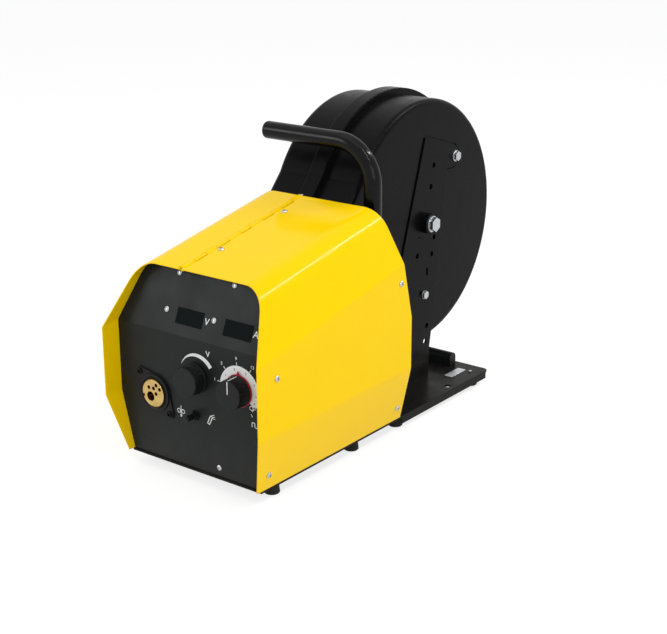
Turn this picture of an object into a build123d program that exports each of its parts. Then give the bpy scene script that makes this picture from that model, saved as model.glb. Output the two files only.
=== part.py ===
from build123d import *
import math
import os

# Wire feeder for welding: a folded sheet box with a hinged side door over a
# four-roll feed mechanism, a closed spool cover on a bracket behind it, a tube
# handle and a deck on rubber feet.
#
# Working frame: X across (left is minus), Y runs back from the front edge of
# the box wings, Z is height above the deck.  Every piece is moved at the end so
# that the origin lies on the floor under the middle of the whole machine.

# ---------------------------------------------------------------- overall sizes
WIDTH = 265.0            # box across its flat sides
LENGTH = 675.0           # front of the box wings to the back of the spool cover
FOOT_H = 20.0            # floor to deck
SHEET = 1.5              # cover, panel and rear wall sheet
GAP = 0.4                # between a sheet and what it closes on

# ---------------------------------------------------------------- cover section
SLOPE = 11.13            # roof rises this much to the rear, degrees
ROOF_IN = 30.0           # virtual roof corner, in from the flat side
ROOF_Z = 250.5           # roof height at y = 0
SHOULDER_Z = 173.5       # where the upper chamfer starts at y = 0
SKIRT_Z = 78.9           # where the lower chamfer ends
SKIRT_IN = 19.8          # cover at the deck, in from the flat side
ROOF_R = 38.0            # bend radius, roof to chamfer
SHOULDER_R = 8.0
SKIRT_R = 30.0
EDGE_R = 5.0             # corners of the sheet edges
BOX_BACK = 327.8         # rear end of the cover at the deck
WING_BACK = 324.2        # rear end of the flat side
BACK_SHOULDER_Z = 153.8
BACK_ROOF_Y = 288.8
HOOD_Y = 47.3            # front end of the roof
SKIRT_Y = 18.3           # front end of the cover at the deck
SEAM_X = -31.5           # hinge line of the left door

# ---------------------------------------------------------------- inner sheets
PANEL_Y = 28.2           # face of the front panel
PANEL_FOLD_Z = 177.2
PANEL_LEAN = 22.0
FLANGE = 14.0            # return flanges of panel and rear wall
REAR_Y = 292.0           # face of the rear wall, sunk between the covers
REAR_FLANGE = 24.0
REAR_FOLD_Z = 154.0
REAR_LEAN = 13.1
WALL_X = -25.0           # left face of the middle wall
WALL_T = 2.0
DECK_T = 3.0
DECK_BEHIND = 82.0       # deck past the spool axle
LIP = 12.0               # turned down edges of the deck behind the box

# ---------------------------------------------------------------- door hinge
HINGE_ROD_R = 2.0
HINGE_FIT = 0.05
HINGE_PROUD = 2.5        # curls stand this far above the roof
KNUCKLES = [(70.2, 91.9), (112.7, 136.1), (159.4, 179.2), (203.5, 224.9), (244.9, 269.0)]
SLOT_EDGE = 5.5          # clear slot in the roof beside each door curl

# ---------------------------------------------------------------- front controls
VOLT_X = 5.8
SPEED_X = 78.5
KNOB_Z = 127.0
KNOB_R = 17.5
KNOB_L = 18.0
SHAFT_R = 3.0
PURGE_X = 2.8
TRIGGER_IN = 12.5        # trigger switch, in from the flat side
TOGGLE_Z = 75.0
TOGGLE_R = 7.2
CONN_X = -67.0
CONN_Z = 90.0
CONN_R = 18.8
CONN_FLANGE_R = 26.5

# ---------------------------------------------------------------- feed mechanism
WIRE_D = 1.2
NIP_GAP = 1.25           # between the crests of two rolls
ROLL_W = 11.0
GEAR_M = 1.25
ROLL_TEETH = 25
PINION_TEETH = 20
GEAR_W = 7.0
BACKLASH = 0.30
ROLL_SPACING = 48.0      # between the two lower rolls
DRIVE_Y = 165.0          # middle of the mechanism
AXLE_R = 4.0
RUN_FIT = 0.05

# ---------------------------------------------------------------- spool side
SPOOL_R = 181.0
BAND_UP = 10.0           # band stands this far off the shells
SPOOL_Z = 239.3
SPOOL_LEFT = -103.0
BAND_LEFT = -40.3
BAND_RIGHT = -15.3
SPOOL_RIGHT = 44.0
SPOOL_WALL = 3.0
BRACKET_T = 3.0
BRACKET_X = 43.0
HUB_R = 25.0

# ---------------------------------------------------------------- handle
TUBE_R = 12.5
TUBE_T = 2.0
HANDLE_Y = 320.0
HANDLE_Z = 385.0
HANDLE_BEND = 57.0
LEG_X = 69.0
GRIP_END = -114.0

HALF = WIDTH / 2
ROOF_HALF = HALF - ROOF_IN
SKIRT_HALF = HALF - SKIRT_IN
TRIGGER_X = HALF - TRIGGER_IN
BAND_R = SPOOL_R + BAND_UP
SPOOL_Y = LENGTH - BAND_R
SPOOL_FLAT_Y = SPOOL_Y - SPOOL_R    # upright front edge of the spool cover
DECK_END = SPOOL_Y + DECK_BEHIND
ROLL_D = GEAR_M * ROLL_TEETH - NIP_GAP
TAN = math.tan(math.radians(SLOPE))
ROOF_DIR = Vector(0, math.cos(math.radians(SLOPE)), math.sin(math.radians(SLOPE)))

os.makedirs("parts", exist_ok=True)


def save(name, *solids):
    """Write one node, moved into the frame with its origin on the floor."""
    placed = [Pos(0, -LENGTH / 2, FOOT_H) * s for shape in solids for s in shape.solids()]
    body = placed[0] if len(placed) == 1 else Compound(children=placed)
    body.label = name
    export_step(body, f"parts/{name}.step")


def rod(start, along, radius, length):
    """Cylinder from a point along a direction."""
    return Plane(origin=start, z_dir=along) * Cylinder(
        radius, length, align=(Align.CENTER, Align.CENTER, Align.MIN))


def tube(start, along, outer, inner, length):
    return rod(start, along, outer, length) - rod(start, along, inner, length)


def side_plate(points, x0, x1, corner=0.0):
    """Outline in (y, z), thick from x0 to x1."""
    face = make_face(Polyline(*[(y, z) for y, z in points], close=True))
    if corner:
        face = fillet(face.vertices(), corner)
    return extrude(Plane(origin=(x0, 0, 0), x_dir=(0, 1, 0), z_dir=(1, 0, 0)) * face, x1 - x0)


def front_plate(points, y0, y1, corner=0.0):
    """Outline in (x, z), thick from y0 back to y1."""
    face = make_face(Polyline(*points, close=True))
    if corner:
        face = fillet(face.vertices(), corner)
    return extrude(Plane(origin=(0, y0, 0), x_dir=(1, 0, 0), z_dir=(0, -1, 0)) * face, y0 - y1)


def block(x0, x1, y0, y1, z0, z1):
    return Pos(x0, y0, z0) * Box(x1 - x0, y1 - y0, z1 - z0, align=(Align.MIN,) * 3)


def box_volume(inset):
    """Space inside the folded cover, all faces set in by `inset` and open below."""
    upper = [(-HALF, -150), (HALF, -150), (HALF, SHOULDER_Z), (ROOF_HALF, ROOF_Z),
             (-ROOF_HALF, ROOF_Z), (-HALF, SHOULDER_Z)]
    below = 60 if inset else 0
    foot = SKIRT_HALF - (HALF - SKIRT_HALF) * below / SKIRT_Z
    lower = [(-foot, -below), (foot, -below), (HALF, SKIRT_Z), (HALF, 420),
             (-HALF, 420), (-HALF, SKIRT_Z)]
    top = make_face(Polyline(*upper, close=True))
    top = fillet(top.vertices().sort_by(Axis.Y)[-2:], ROOF_R)
    shoulders = [v for v in top.vertices() if abs(v.Y - SHOULDER_Z) < 1e-6]
    top = fillet(shoulders, SHOULDER_R)
    low = make_face(Polyline(*lower, close=True))
    low = fillet([v for v in low.vertices() if abs(v.Y - SKIRT_Z) < 1e-6], SKIRT_R)
    if inset:
        top = offset(top, -inset)
        low = offset(low, -inset)
    start = Plane(origin=(0, -40, -40 * TAN), x_dir=(1, 0, 0), z_dir=(0, -1, 0))
    body = extrude(start * top, 520, dir=ROOF_DIR)
    return body & extrude(Plane(origin=(0, -40, 0), x_dir=(1, 0, 0), z_dir=(0, -1, 0)) * low,
                          520, dir=(0, 1, 0))


# ================================================================ folded covers
CURL_R = HINGE_ROD_R + HINGE_FIT + SHEET
HINGE_Z0 = ROOF_Z + (HINGE_PROUD - CURL_R) / ROOF_DIR.Y


def roof_z(y):
    return ROOF_Z + TAN * y


def hinge_point(y):
    return Vector(SEAM_X, y, HINGE_Z0 + TAN * y)


def skirt_x(z):
    """Half width of the outer skirt at a height below the lower bend."""
    return SKIRT_HALF + (HALF - SKIRT_HALF) * z / SKIRT_Z


SKIRT_OUT = Vector(SKIRT_Z, 0, SKIRT_HALF - HALF).normalized()
ROOF_OUT = Vector(0, -ROOF_DIR.Z, ROOF_DIR.Y)
BACK_SHOULDER_Y = 304.7

side_view = [
    (SKIRT_Y, -50), (SKIRT_Y, 0), (0, SKIRT_Z), (0, SHOULDER_Z), (HOOD_Y, roof_z(HOOD_Y)),
    (HOOD_Y, 420), (BACK_ROOF_Y, 420), (BACK_ROOF_Y, roof_z(BACK_ROOF_Y)),
    (BACK_SHOULDER_Y, SHOULDER_Z + TAN * BACK_SHOULDER_Y), (WING_BACK, BACK_SHOULDER_Z),
    (WING_BACK, SKIRT_Z), (BOX_BACK, 0), (BOX_BACK, -50)]
outline = make_face(Polyline(*side_view, close=True))
outline = fillet([v for v in outline.vertices() if -1 < v.Y < 240], EDGE_R)
trim = extrude(Plane(origin=(-200, 0, 0), x_dir=(0, 1, 0), z_dir=(1, 0, 0)) * outline, 400)
sheet = (box_volume(0) - box_volume(SHEET)) & trim

# screws of the fixed cover: point on its face and the way the head looks
cover_screw_points = [
    (Vector(HALF, 36.2, 152.7), Vector(1, 0, 0)),
    (Vector(HALF, 298.0, 207.7), Vector(1, 0, 0)),
    (Vector(skirt_x(21.9), 34.3, 21.9), SKIRT_OUT),
    (Vector(skirt_x(20.1), 312.6, 20.1), SKIRT_OUT),
    (Vector(-19.7, 110.5, roof_z(110.5)), ROOF_OUT),
    (Vector(-17.4, 235.9, roof_z(235.9)), ROOF_OUT)]
SCREW_R = 1.9
SCREW_FIT = 0.1
LATCH_Z = 120.0
LATCH_R = 3.4
latch_points = [Vector(-HALF, PANEL_Y + 8.0, LATCH_Z), Vector(-HALF, REAR_Y + 14.0, LATCH_Z)]


def curl(y0, y1):
    length = (y1 - y0) / ROOF_DIR.Y
    return rod(hinge_point(y0), ROOF_DIR, CURL_R, length)


def slot_block(y0, y1, side):
    x0, x1 = sorted((SEAM_X, SEAM_X + side * SLOT_EDGE))
    return block(x0 - (0.01 if side > 0 else 0), x1 + (0.01 if side < 0 else 0), y0, y1, 200, 400)


KNUCKLE_GAP = 0.3
hinge_bore = rod(hinge_point(0), ROOF_DIR, HINGE_ROD_R + HINGE_FIT, LENGTH)
right_cover = sheet & block(SEAM_X, 200, -10, 400, -10, 400)
left_door = sheet & block(-200, SEAM_X, -10, 400, -10, 400)
edges = [HOOD_Y] + [y for pair in KNUCKLES for y in pair] + [BACK_ROOF_Y]
for i in range(0, len(edges) - 1):
    y0, y1 = edges[i], edges[i + 1]
    side = 1 if i % 2 else -1
    if side > 0:
        right_cover -= slot_block(y0, y1, 1)
        left_door += curl(y0 + KNUCKLE_GAP, y1 - KNUCKLE_GAP)
    else:
        left_door -= slot_block(y0, y1, -1)
        right_cover += curl(max(y0, HOOD_Y + 1) + KNUCKLE_GAP, min(y1, BACK_ROOF_Y - 1) - KNUCKLE_GAP)
for point, out in cover_screw_points:
    right_cover -= rod(point - out * 5, out, SCREW_R + SCREW_FIT, 10)
for point in latch_points:
    left_door -= rod(point - Vector(5, 0, 0), (1, 0, 0), LATCH_R + SCREW_FIT, 10)
right_cover -= hinge_bore
left_door -= hinge_bore
left_door -= rod((-35.5, 52.4, 240), (0, 0, 1), 1.6, 40)
hinge_rod = rod(hinge_point(HOOD_Y + 2), ROOF_DIR, HINGE_ROD_R, (BACK_ROOF_Y + 3 - HOOD_Y - 2) / ROOF_DIR.Y)
save("right_cover", right_cover)
save("left_door", left_door)
save("hinge_rod", hinge_rod)


def pan_screw(point, out, head_r=4.2, head_h=2.5, length=8.0, shank=SCREW_R, drive=1.9):
    """Domed head with a hexagon socket, seated on `point`, shank going in."""
    rim = head_h * 0.35
    half = Polyline((0, 0), (head_r, 0), (head_r, rim))
    dome = ThreePointArc((head_r, rim), (head_r * 0.66, head_h * 0.87), (0, head_h))
    head = revolve(Plane.XZ * make_face(half + dome + Line((0, head_h), (0, 0))), Axis.Z)
    head -= Pos(0, 0, head_h * 0.4) * extrude(RegularPolygon(drive, 6), head_h)
    body = head + Pos(0, 0, -length) * Cylinder(shank, length, align=(Align.CENTER, Align.CENTER,
            Align.MIN))
    return Plane(origin=point, z_dir=out) * body


def hex_bolt(point, out, across, head_h, shank, length, washer_r=0.0, washer_t=0.0):
    """Hexagon head seated on an optional washer, shank going in from `point`."""
    head = extrude(RegularPolygon(across / 2, 6, major_radius=False), head_h)
    head = head & Cone(across, across * 0.5, head_h * 1.8, align=(Align.CENTER, Align.CENTER, Align.MIN))
    body = Pos(0, 0, washer_t) * head
    if washer_t:
        body += Cylinder(washer_r, washer_t, align=(Align.CENTER, Align.CENTER, Align.MIN))
    body += Pos(0, 0, -length) * Cylinder(shank, length + washer_t, align=(Align.CENTER, Align.CENTER,
            Align.MIN))
    return Plane(origin=point, z_dir=out) * body


save("cover_screws", *[pan_screw(p, o) for p, o in cover_screw_points])

# ================================================================ front panel
LEAN = Plane(origin=(0, PANEL_Y, PANEL_FOLD_Z), x_dir=(1, 0, 0),
             z_dir=(0, -math.cos(math.radians(PANEL_LEAN)), math.sin(math.radians(PANEL_LEAN))))
FACE = Plane(origin=(0, PANEL_Y, 0), x_dir=(1, 0, 0), z_dir=(0, -1, 0))


def folded_strip(y, fold_z, lean, near, far, bend):
    """Side view of a wall that stands upright, then leans: from `near` to `far` behind it."""
    slant = math.tan(math.radians(lean))
    up = 320 - fold_z

    def line(d):
        shift = abs(d) / math.cos(math.radians(lean)) * (1 if d > 0 else -1)
        z = fold_z + (d - shift) / slant
        return [(y + d, -5), (y + d, z), (y + shift + up * slant, 320)]
    ring = line(near) + [(p[0], p[1]) for p in reversed(line(far))]
    face = make_face(Polyline(*ring, close=True))
    inner = [v for v in face.vertices() if 20 < v.Y < 300]
    face = fillet(inner, bend)
    return extrude(Plane(origin=(-200, 0, 0), x_dir=(0, 1, 0), z_dir=(1, 0, 0)) * face, 400)


space = box_volume(SHEET + GAP) & block(-200, 200, -10, 400, 0, 400)
core = box_volume(2 * SHEET + GAP) & block(-200, 200, -10, 400, SHEET, 400)
front_panel = (folded_strip(PANEL_Y, PANEL_FOLD_Z, PANEL_LEAN, 0, FLANGE, 4.0) & space) - (
    folded_strip(PANEL_Y, PANEL_FOLD_Z, PANEL_LEAN, SHEET, FLANGE * 2, 3.0) & core)
WINDOWS = [(-10.2, 45.5), (70.8, 46.5)]     # middle and width of each display window
WINDOW_S = 25.5
WINDOW_H = 21.0
panel_screw_points = [LEAN.from_local_coords(Vector(x, s, 0)) for x, s in
                      [(-44, 78.7), (49, 78.7), (-51.5, 29.2), (29.4, 29.9)]]
low_screw = Vector(41.1, PANEL_Y, 12.4)
SWITCH_HOLE = TOGGLE_R - 1.3
for x, w in WINDOWS:
    front_panel -= LEAN * Pos(x, WINDOW_S, -10) * Box(w, WINDOW_H, 20)
for p in panel_screw_points:
    front_panel -= rod(p - LEAN.z_dir * 5, LEAN.z_dir, SCREW_R + SCREW_FIT, 10)
front_panel -= rod(low_screw + Vector(0, 5, 0), (0, -1, 0), SCREW_R + SCREW_FIT, 10)
POT_THREAD_R = 4.75
for x in (VOLT_X, SPEED_X):
    front_panel -= FACE * Pos(x, KNOB_Z, -5) * Cylinder(POT_THREAD_R + SCREW_FIT, 20)
for x in (PURGE_X, TRIGGER_X):
    front_panel -= FACE * Pos(x, TOGGLE_Z, -5) * Cylinder(SWITCH_HOLE + SCREW_FIT, 20)
SLEEVE_R = CONN_R + 3.0
front_panel -= FACE * Pos(CONN_X, CONN_Z, -5) * Cylinder(SLEEVE_R + SCREW_FIT, 20)
CONN_SCREWS = [(-25.5, 24.4), (25.5, -24.4)]
for dx, dz in CONN_SCREWS:
    front_panel -= FACE * Pos(CONN_X + dx, CONN_Z + dz, -5) * Cylinder(SCREW_R + SCREW_FIT, 20)

# ================================================================ rear wall
REAR_SIGN = -1
slant = math.tan(math.radians(REAR_LEAN))


def rear_strip(near, far):
    """Side view of the rear wall: upright to the fold, then leaning forward."""
    def line(d):
        shift = d / math.cos(math.radians(REAR_LEAN))
        z = REAR_FOLD_Z + (shift - d) / slant
        return [(REAR_Y + d, -5), (REAR_Y + d, z), (REAR_Y + shift - (320 - REAR_FOLD_Z) * slant, 320)]
    face = make_face(Polyline(*(line(near) + line(far)[::-1]), close=True))
    face = fillet([v for v in face.vertices() if 20 < v.Y < 300], 3.0)
    return extrude(Plane(origin=(-200, 0, 0), x_dir=(0, 1, 0), z_dir=(1, 0, 0)) * face, 400)


rear_wall = (rear_strip(-SHEET, REAR_FLANGE) & space) - (rear_strip(0, REAR_FLANGE * 2) & core)
for point, out in cover_screw_points:
    hole = rod(point - out * 10, out, SCREW_R + SCREW_FIT, 20)
    if point.Y < 60:
        front_panel -= hole
    if point.Y > 290:
        rear_wall -= hole
LATCH_TONGUE = 12.0
LATCH_BAR = 4.0
for i, point in enumerate(latch_points):
    key = Pos(point.X, point.Y, point.Z) * Box(20, LATCH_BAR + 1, LATCH_TONGUE + 1)
    key += rod(point, (1, 0, 0), LATCH_R + 0.4, 10)
    if i == 0:
        front_panel -= key
    else:
        rear_wall -= key


def latch(point):
    """Quarter-turn fastener: slotted disc outside, shank, tongue inside, shown released."""
    head = revolve(Plane.XZ * make_face(Polyline(
        (0, 0), (9, 0), (9, 1.1), (7.6, HINGE_PROUD), (0, HINGE_PROUD), close=True)), Axis.Z)
    head -= Pos(0, 0, HINGE_PROUD) * Box(11, 1.6, 2.4)
    depth = 2 * SHEET + GAP + 2.6
    body = head + Pos(0, 0, -depth / 2) * Cylinder(LATCH_R, depth)
    body += Pos(0, 0, -depth + 1) * Box(LATCH_TONGUE, LATCH_BAR, 2)
    return Plane(origin=point, x_dir=(0, 0, 1), z_dir=(-1, 0, 0)) * body


save("door_latch_front", latch(latch_points[0]))
save("door_latch_rear", latch(latch_points[1]))

# ================================================================ middle wall
WALL_TOP_EDGE = SHEET + GAP
wall_front = [(PANEL_Y + FLANGE + 2, 0), (PANEL_Y + FLANGE + 2, PANEL_FOLD_Z)]
wall_lean = math.tan(math.radians(PANEL_LEAN))
front_top_y = PANEL_Y + FLANGE + 2 + (350 - PANEL_FOLD_Z) * wall_lean
rear_y = REAR_Y - SHEET - 2
rear_top_y = rear_y - (350 - REAR_FOLD_Z) * slant
wall_view = wall_front + [(front_top_y, 350), (rear_top_y, 350), (rear_y, REAR_FOLD_Z), (rear_y, 0)]
under_roof = box_volume(WALL_TOP_EDGE) & block(-200, 200, -10, 400, 0, 400)
under_flange = box_volume(WALL_TOP_EDGE + WALL_T) & block(-200, 200, -10, 400, WALL_T, 400)
WALL_FLANGE_END = -8.0
chassis_wall = side_plate(wall_view, WALL_X, WALL_FLANGE_END) & under_roof
chassis_wall -= side_plate([(0, -20), (0, 400), (400, 400), (400, -20)], WALL_X + WALL_T, 0) & under_flange
for point, out in cover_screw_points:
    if 60 < point.Y < 290:
        chassis_wall -= rod(point - out * 10, out, SCREW_R + SCREW_FIT, 20)
DRIVE_HOLE_Y = 62.0
DRIVE_HOLE_Z = 72.0
PINION_DROP = math.sqrt((GEAR_M * (ROLL_TEETH + PINION_TEETH) / 2) ** 2 - (ROLL_SPACING / 2) ** 2)
LOWER_Z = CONN_Z - (ROLL_D + NIP_GAP) / 2
UPPER_Z = CONN_Z + (ROLL_D + NIP_GAP) / 2
PINION_Z = LOWER_Z - PINION_DROP
chassis_wall -= block(WALL_X - 5, WALL_X + 5, DRIVE_Y - DRIVE_HOLE_Y / 2, DRIVE_Y + DRIVE_HOLE_Y / 2,
                      PINION_Z - DRIVE_HOLE_Z / 2, PINION_Z + DRIVE_HOLE_Z / 2)
HOSE_R = 4.5
HOSE_HOLE = Vector(WALL_X, 250.0, 205.0)
chassis_wall -= rod(HOSE_HOLE - Vector(5, 0, 0), (1, 0, 0), HOSE_R + 3.0, 12)

# ================================================================ deck
DECK_FLANGE_H = 30.0
DECK_FLANGE = (PANEL_Y + 34.0, REAR_Y - 12.0)
deck = block(-SKIRT_HALF, SKIRT_HALF, PANEL_Y - 2, DECK_END, -DECK_T, 0)
deck = fillet(deck.edges().filter_by(Axis.Z).group_by(Axis.Y)[-1], 8.0)
LIP_Y = BOX_BACK + 6.0
for side in (-1, 1):
    lip_x = sorted((side * SKIRT_HALF, side * (SKIRT_HALF - 2.0)))
    deck += block(lip_x[0], lip_x[1], LIP_Y, DECK_END - 8, -LIP, -DECK_T / 2)
    skirt = (box_volume(SHEET + GAP) - box_volume(2 * SHEET + GAP)) & block(
        *sorted((0, side * 200)), DECK_FLANGE[0], DECK_FLANGE[1], -1, DECK_FLANGE_H)
    deck += skirt
deck += block(-SKIRT_HALF + 8, SKIRT_HALF - 8, DECK_END - 2.0, DECK_END, -LIP, -DECK_T / 2)
FOOT_R = 10.5
FOOT_X = SKIRT_HALF - 16.7
FOOT_Y = (66.0, 235.0, REAR_Y + 48.0, DECK_END - 26.0)
foot_points = [(side * FOOT_X, y) for side in (-1, 1) for y in FOOT_Y]
for x, y in foot_points:
    deck -= Pos(x, y, 0) * Cylinder(2.6, 20)
deck -= Pos(FOOT_X + 5.0, SPOOL_Y - 15.0, 0) * Cylinder(5.0, 20)

# ================================================================ feet
def foot(x, y):
    half = Polyline((0, 0), (FOOT_R - 1.0, 0), (FOOT_R, 1.2), (FOOT_R - 1.6, FOOT_H - DECK_T), (0,
            FOOT_H - DECK_T), close=True)
    body = revolve(Plane.XZ * make_face(half), Axis.Z)
    body -= Cylinder(5.0, 8, align=(Align.CENTER, Align.CENTER, Align.MIN))
    body -= Cylinder(2.6, FOOT_H, align=(Align.CENTER, Align.CENTER, Align.MIN))
    return Pos(x, y, -FOOT_H) * body


save("rubber_feet", *[foot(x, y) for x, y in foot_points])
foot_screws = [pan_screw(Vector(x, y, 8 - FOOT_H), (0, 0, -1), 4.6, 3.0, FOOT_H - 8 + 1.5, 2.5) for x,
        y in foot_points]

# ================================================================ control knobs
KNOB_STANDOFF = 1.2
POT_BODY_R = 12.0
POT_BODY_L = 14.0
SHAFT_IN = KNOB_L - 5.0


def knob(x, skirt):
    """Knob fast on its spindle: straight grip with fine flutes, chamfered face, pointer groove."""
    half = Polyline((SHAFT_R, 0), (KNOB_R + skirt, 0), (KNOB_R + skirt, 2.0), (KNOB_R - 1.0, 4.0),
                    (KNOB_R - 1.6, KNOB_L - 2.0), (KNOB_R - 3.4, KNOB_L), (0, KNOB_L), (0, SHAFT_IN),
                    (SHAFT_R, SHAFT_IN), close=True)
    body = revolve(Plane.XZ * make_face(half), Axis.Z)
    flute = Pos(KNOB_R - 0.4, 0, 5.0) * Cylinder(1.1, KNOB_L - 9.0, align=(Align.CENTER, Align.CENTER,
            Align.MIN))
    body -= [Rot(0, 0, a) * flute for a in range(15, 360, 30)]
    body -= Pos(0, KNOB_R / 2 + 1, KNOB_L) * Box(1.4, KNOB_R, 1.0)
    body += Pos(0, 0, -KNOB_STANDOFF - SHEET - 6.0) * Cylinder(
        SHAFT_R, KNOB_STANDOFF + SHEET + 6.0 + SHAFT_IN, align=(Align.CENTER, Align.CENTER, Align.MIN))
    return Plane(origin=(x, PANEL_Y - KNOB_STANDOFF, KNOB_Z), x_dir=(1, 0, 0), z_dir=(0, -1, 0)) * body


save("voltage_knob", knob(VOLT_X, 0.0))
save("speed_knob", knob(SPEED_X, 0.0))
RING_R = KNOB_R + 2.3
ring = Cylinder(RING_R, 1.6, align=(Align.CENTER, Align.CENTER, Align.MIN)) - Cylinder(KNOB_R, 5)
ring += Pos(0, RING_R + 0.9, 0) * extrude(Triangle(a=3.2, b=3.2, c=3.2), 1.6)
save("speed_pointer_ring", Plane(origin=(SPEED_X, PANEL_Y - KNOB_STANDOFF, KNOB_Z),
                                 x_dir=(1, 0, 0), z_dir=(0, -1, 0)) * ring)
pots = []
for x in (VOLT_X, SPEED_X):
    body = Pos(0, 0, -SHEET - POT_BODY_L) * Cylinder(POT_BODY_R, POT_BODY_L, align=(Align.CENTER,
            Align.CENTER, Align.MIN))
    body += Pos(0, 0, -SHEET) * Cylinder(POT_THREAD_R, SHEET + 0.8, align=(Align.CENTER, Align.CENTER,
            Align.MIN))
    body -= Pos(0, 0, -SHEET - 6.5) * Cylinder(SHAFT_R + RUN_FIT, 20, align=(Align.CENTER, Align.CENTER,
            Align.MIN))
    pots.append(FACE * Pos(x, KNOB_Z, 0) * body)
save("potentiometers", *pots)

# ================================================================ toggle switches
BARREL_OUT = 7.0
PIVOT_OUT = 3.0
LEVER_OUT = 19.0
LEVER_CAP_R = 4.0
BARREL_BORE = 3.4
TRUNNION_R = 1.0


def switch(x, along):
    body = Pos(0, 0, -SHEET - 9) * Box(13, 13, 18)
    body += Pos(0, 0, -SHEET) * Cylinder(SWITCH_HOLE, SHEET + BARREL_OUT, align=(Align.CENTER,
            Align.CENTER, Align.MIN))
    body += extrude(RegularPolygon(TOGGLE_R, 6), 2.4)
    body -= Pos(0, 0, -0.5) * Cylinder(BARREL_BORE, 20, align=(Align.CENTER, Align.CENTER, Align.MIN))
    body -= Plane(origin=(0, 0, PIVOT_OUT), z_dir=along) * Cylinder(TRUNNION_R + RUN_FIT, 30)
    return FACE * Pos(x, TOGGLE_Z, 0) * body


def lever(x, along):
    """Lever under a round moulded cap, turns on a cross pin in the barrel."""
    half = Polyline((0, PIVOT_OUT - 2.4), (1.9, PIVOT_OUT - 2.4), (1.9, PIVOT_OUT + 2.0), (1.5,
            PIVOT_OUT + 3.4),
                    (1.5, BARREL_OUT + 1.6), (LEVER_CAP_R - 0.8, BARREL_OUT + 1.6), (LEVER_CAP_R,
                            BARREL_OUT + 2.6),
                    (LEVER_CAP_R, LEVER_OUT - 1.6), (LEVER_CAP_R - 1.4, LEVER_OUT - 0.3), (0, LEVER_OUT),
                            close=True)
    body = revolve(Plane.XZ * make_face(half), Axis.Z)
    body += Plane(origin=(0, 0, PIVOT_OUT), z_dir=along) * Cylinder(TRUNNION_R, 2 * (SWITCH_HOLE - 0.4))
    return FACE * Pos(x, TOGGLE_Z, 0) * body


save("toggle_switches", switch(PURGE_X, (0, 1, 0)), switch(TRIGGER_X, (1, 0, 0)))
save("inch_purge_lever", lever(PURGE_X, (0, 1, 0)))
save("trigger_mode_lever", lever(TRIGGER_X, (1, 0, 0)))

# ================================================================ gun connector
FLANGE_T = 2.2
RIM_T = 4.2
BRASS_OUT = 6.2
EAR_R = 6.5
ears = [Pos(dx, dz) * Circle(EAR_R) for dx, dz in CONN_SCREWS]
plate = extrude(make_hull(Circle(CONN_FLANGE_R).edges() + ears[0].edges() + ears[1].edges()), FLANGE_T)
plate += Cylinder(CONN_FLANGE_R - 0.8, RIM_T, align=(Align.CENTER, Align.CENTER, Align.MIN))
plate -= Pos(0, 0, RIM_T - 2.0) * Cone(CONN_R + 1.0, CONN_R + 4.0, 2.0, align=(Align.CENTER, Align.CENTER,
        Align.MIN))
plate += Pos(0, 0, -SHEET - 8) * Cylinder(SLEEVE_R, SHEET + 8.5, align=(Align.CENTER, Align.CENTER,
        Align.MIN))
plate -= Cylinder(CONN_R, 40)
for dx, dz in CONN_SCREWS:
    plate -= Pos(dx, dz, 0) * Cylinder(SCREW_R + SCREW_FIT, 30)
save("gun_connector_flange", FACE * Pos(CONN_X, CONN_Z, 0) * plate)
connector_screws = [pan_screw((CONN_X + dx, PANEL_Y - FLANGE_T, CONN_Z + dz), (0, -1, 0), 4.6, 2.6, 12.0,
        SCREW_R, 2.1)
                    for dx, dz in CONN_SCREWS]
CONN_BACK = 60.0
GUIDE_R = 3.0
socket = Pos(0, 0, -34) * Cylinder(CONN_R, 34 + BRASS_OUT, align=(Align.CENTER, Align.CENTER, Align.MIN))
socket = chamfer(socket.edges().sort_by(Axis.Z)[-1], 1.0)
socket += Pos(0, 0, -CONN_BACK) * Cylinder(11.0, CONN_BACK - 30, align=(Align.CENTER, Align.CENTER,
        Align.MIN))
socket += Pos(0, 0, -46) * Box(30, 30, 16)
socket -= Pos(-3.7, -4.7, BRASS_OUT - 28) * Cylinder(6.5, 40, align=(Align.CENTER, Align.CENTER, Align.MIN))
for dx, dz in ((-6.5, 7.3), (1.9, 7.4), (6.8, 12.5), (12.7, 8.0), (6.1, 0.6)):
    socket -= Pos(dx, dz, BRASS_OUT - 12) * Cylinder(2.6, 20, align=(Align.CENTER, Align.CENTER, Align.MIN))
socket -= Pos(-CONN_R + 2, -5.4, BRASS_OUT) * Box(5, 4, 8)
socket -= Pos(0, 0, -CONN_BACK) * Cylinder(GUIDE_R, 44, align=(Align.CENTER, Align.CENTER, Align.CENTER))
save("gun_connector_socket", FACE * Pos(CONN_X, CONN_Z, 0) * socket)

# ================================================================ displays and board
windows = []
for x, w in WINDOWS:
    lens = Pos(x, WINDOW_S, -1.6) * Box(w - 0.2, WINDOW_H - 0.2, 2.2)
    windows.append(LEAN * (lens + Pos(x, WINDOW_S, -SHEET - 6.5) * Box(w + 4, WINDOW_H + 6, 13)))
save("display_windows", *windows)
save("panel_screws", *([pan_screw(p, LEAN.z_dir, 3.8, 2.0, 6.0) for p in panel_screw_points]
                       + [pan_screw(low_screw, (0, -1, 0), 3.8, 2.0, 6.0)] + connector_screws))
BOARD_Y = PANEL_Y + 43.8
posts = [(5.0, 25.0), (100.0, 25.0), (42.0, 150.0), (104.0, 155.0)]
board = front_plate([(-4, 16), (108, 16), (112, 165), (-4, 165)], BOARD_Y, BOARD_Y + 1.6, 3.0)
board += block(20, 60, BOARD_Y + 1.6, BOARD_Y + 24, 60, 95) + block(68, 96, BOARD_Y + 1.6, BOARD_Y + 16,
        70, 120)
for x, z in posts:
    board += rod((x, PANEL_Y + SHEET, z), (0, 1, 0), 3.0, BOARD_Y - PANEL_Y - SHEET + 1)
save("control_board", board)
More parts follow.
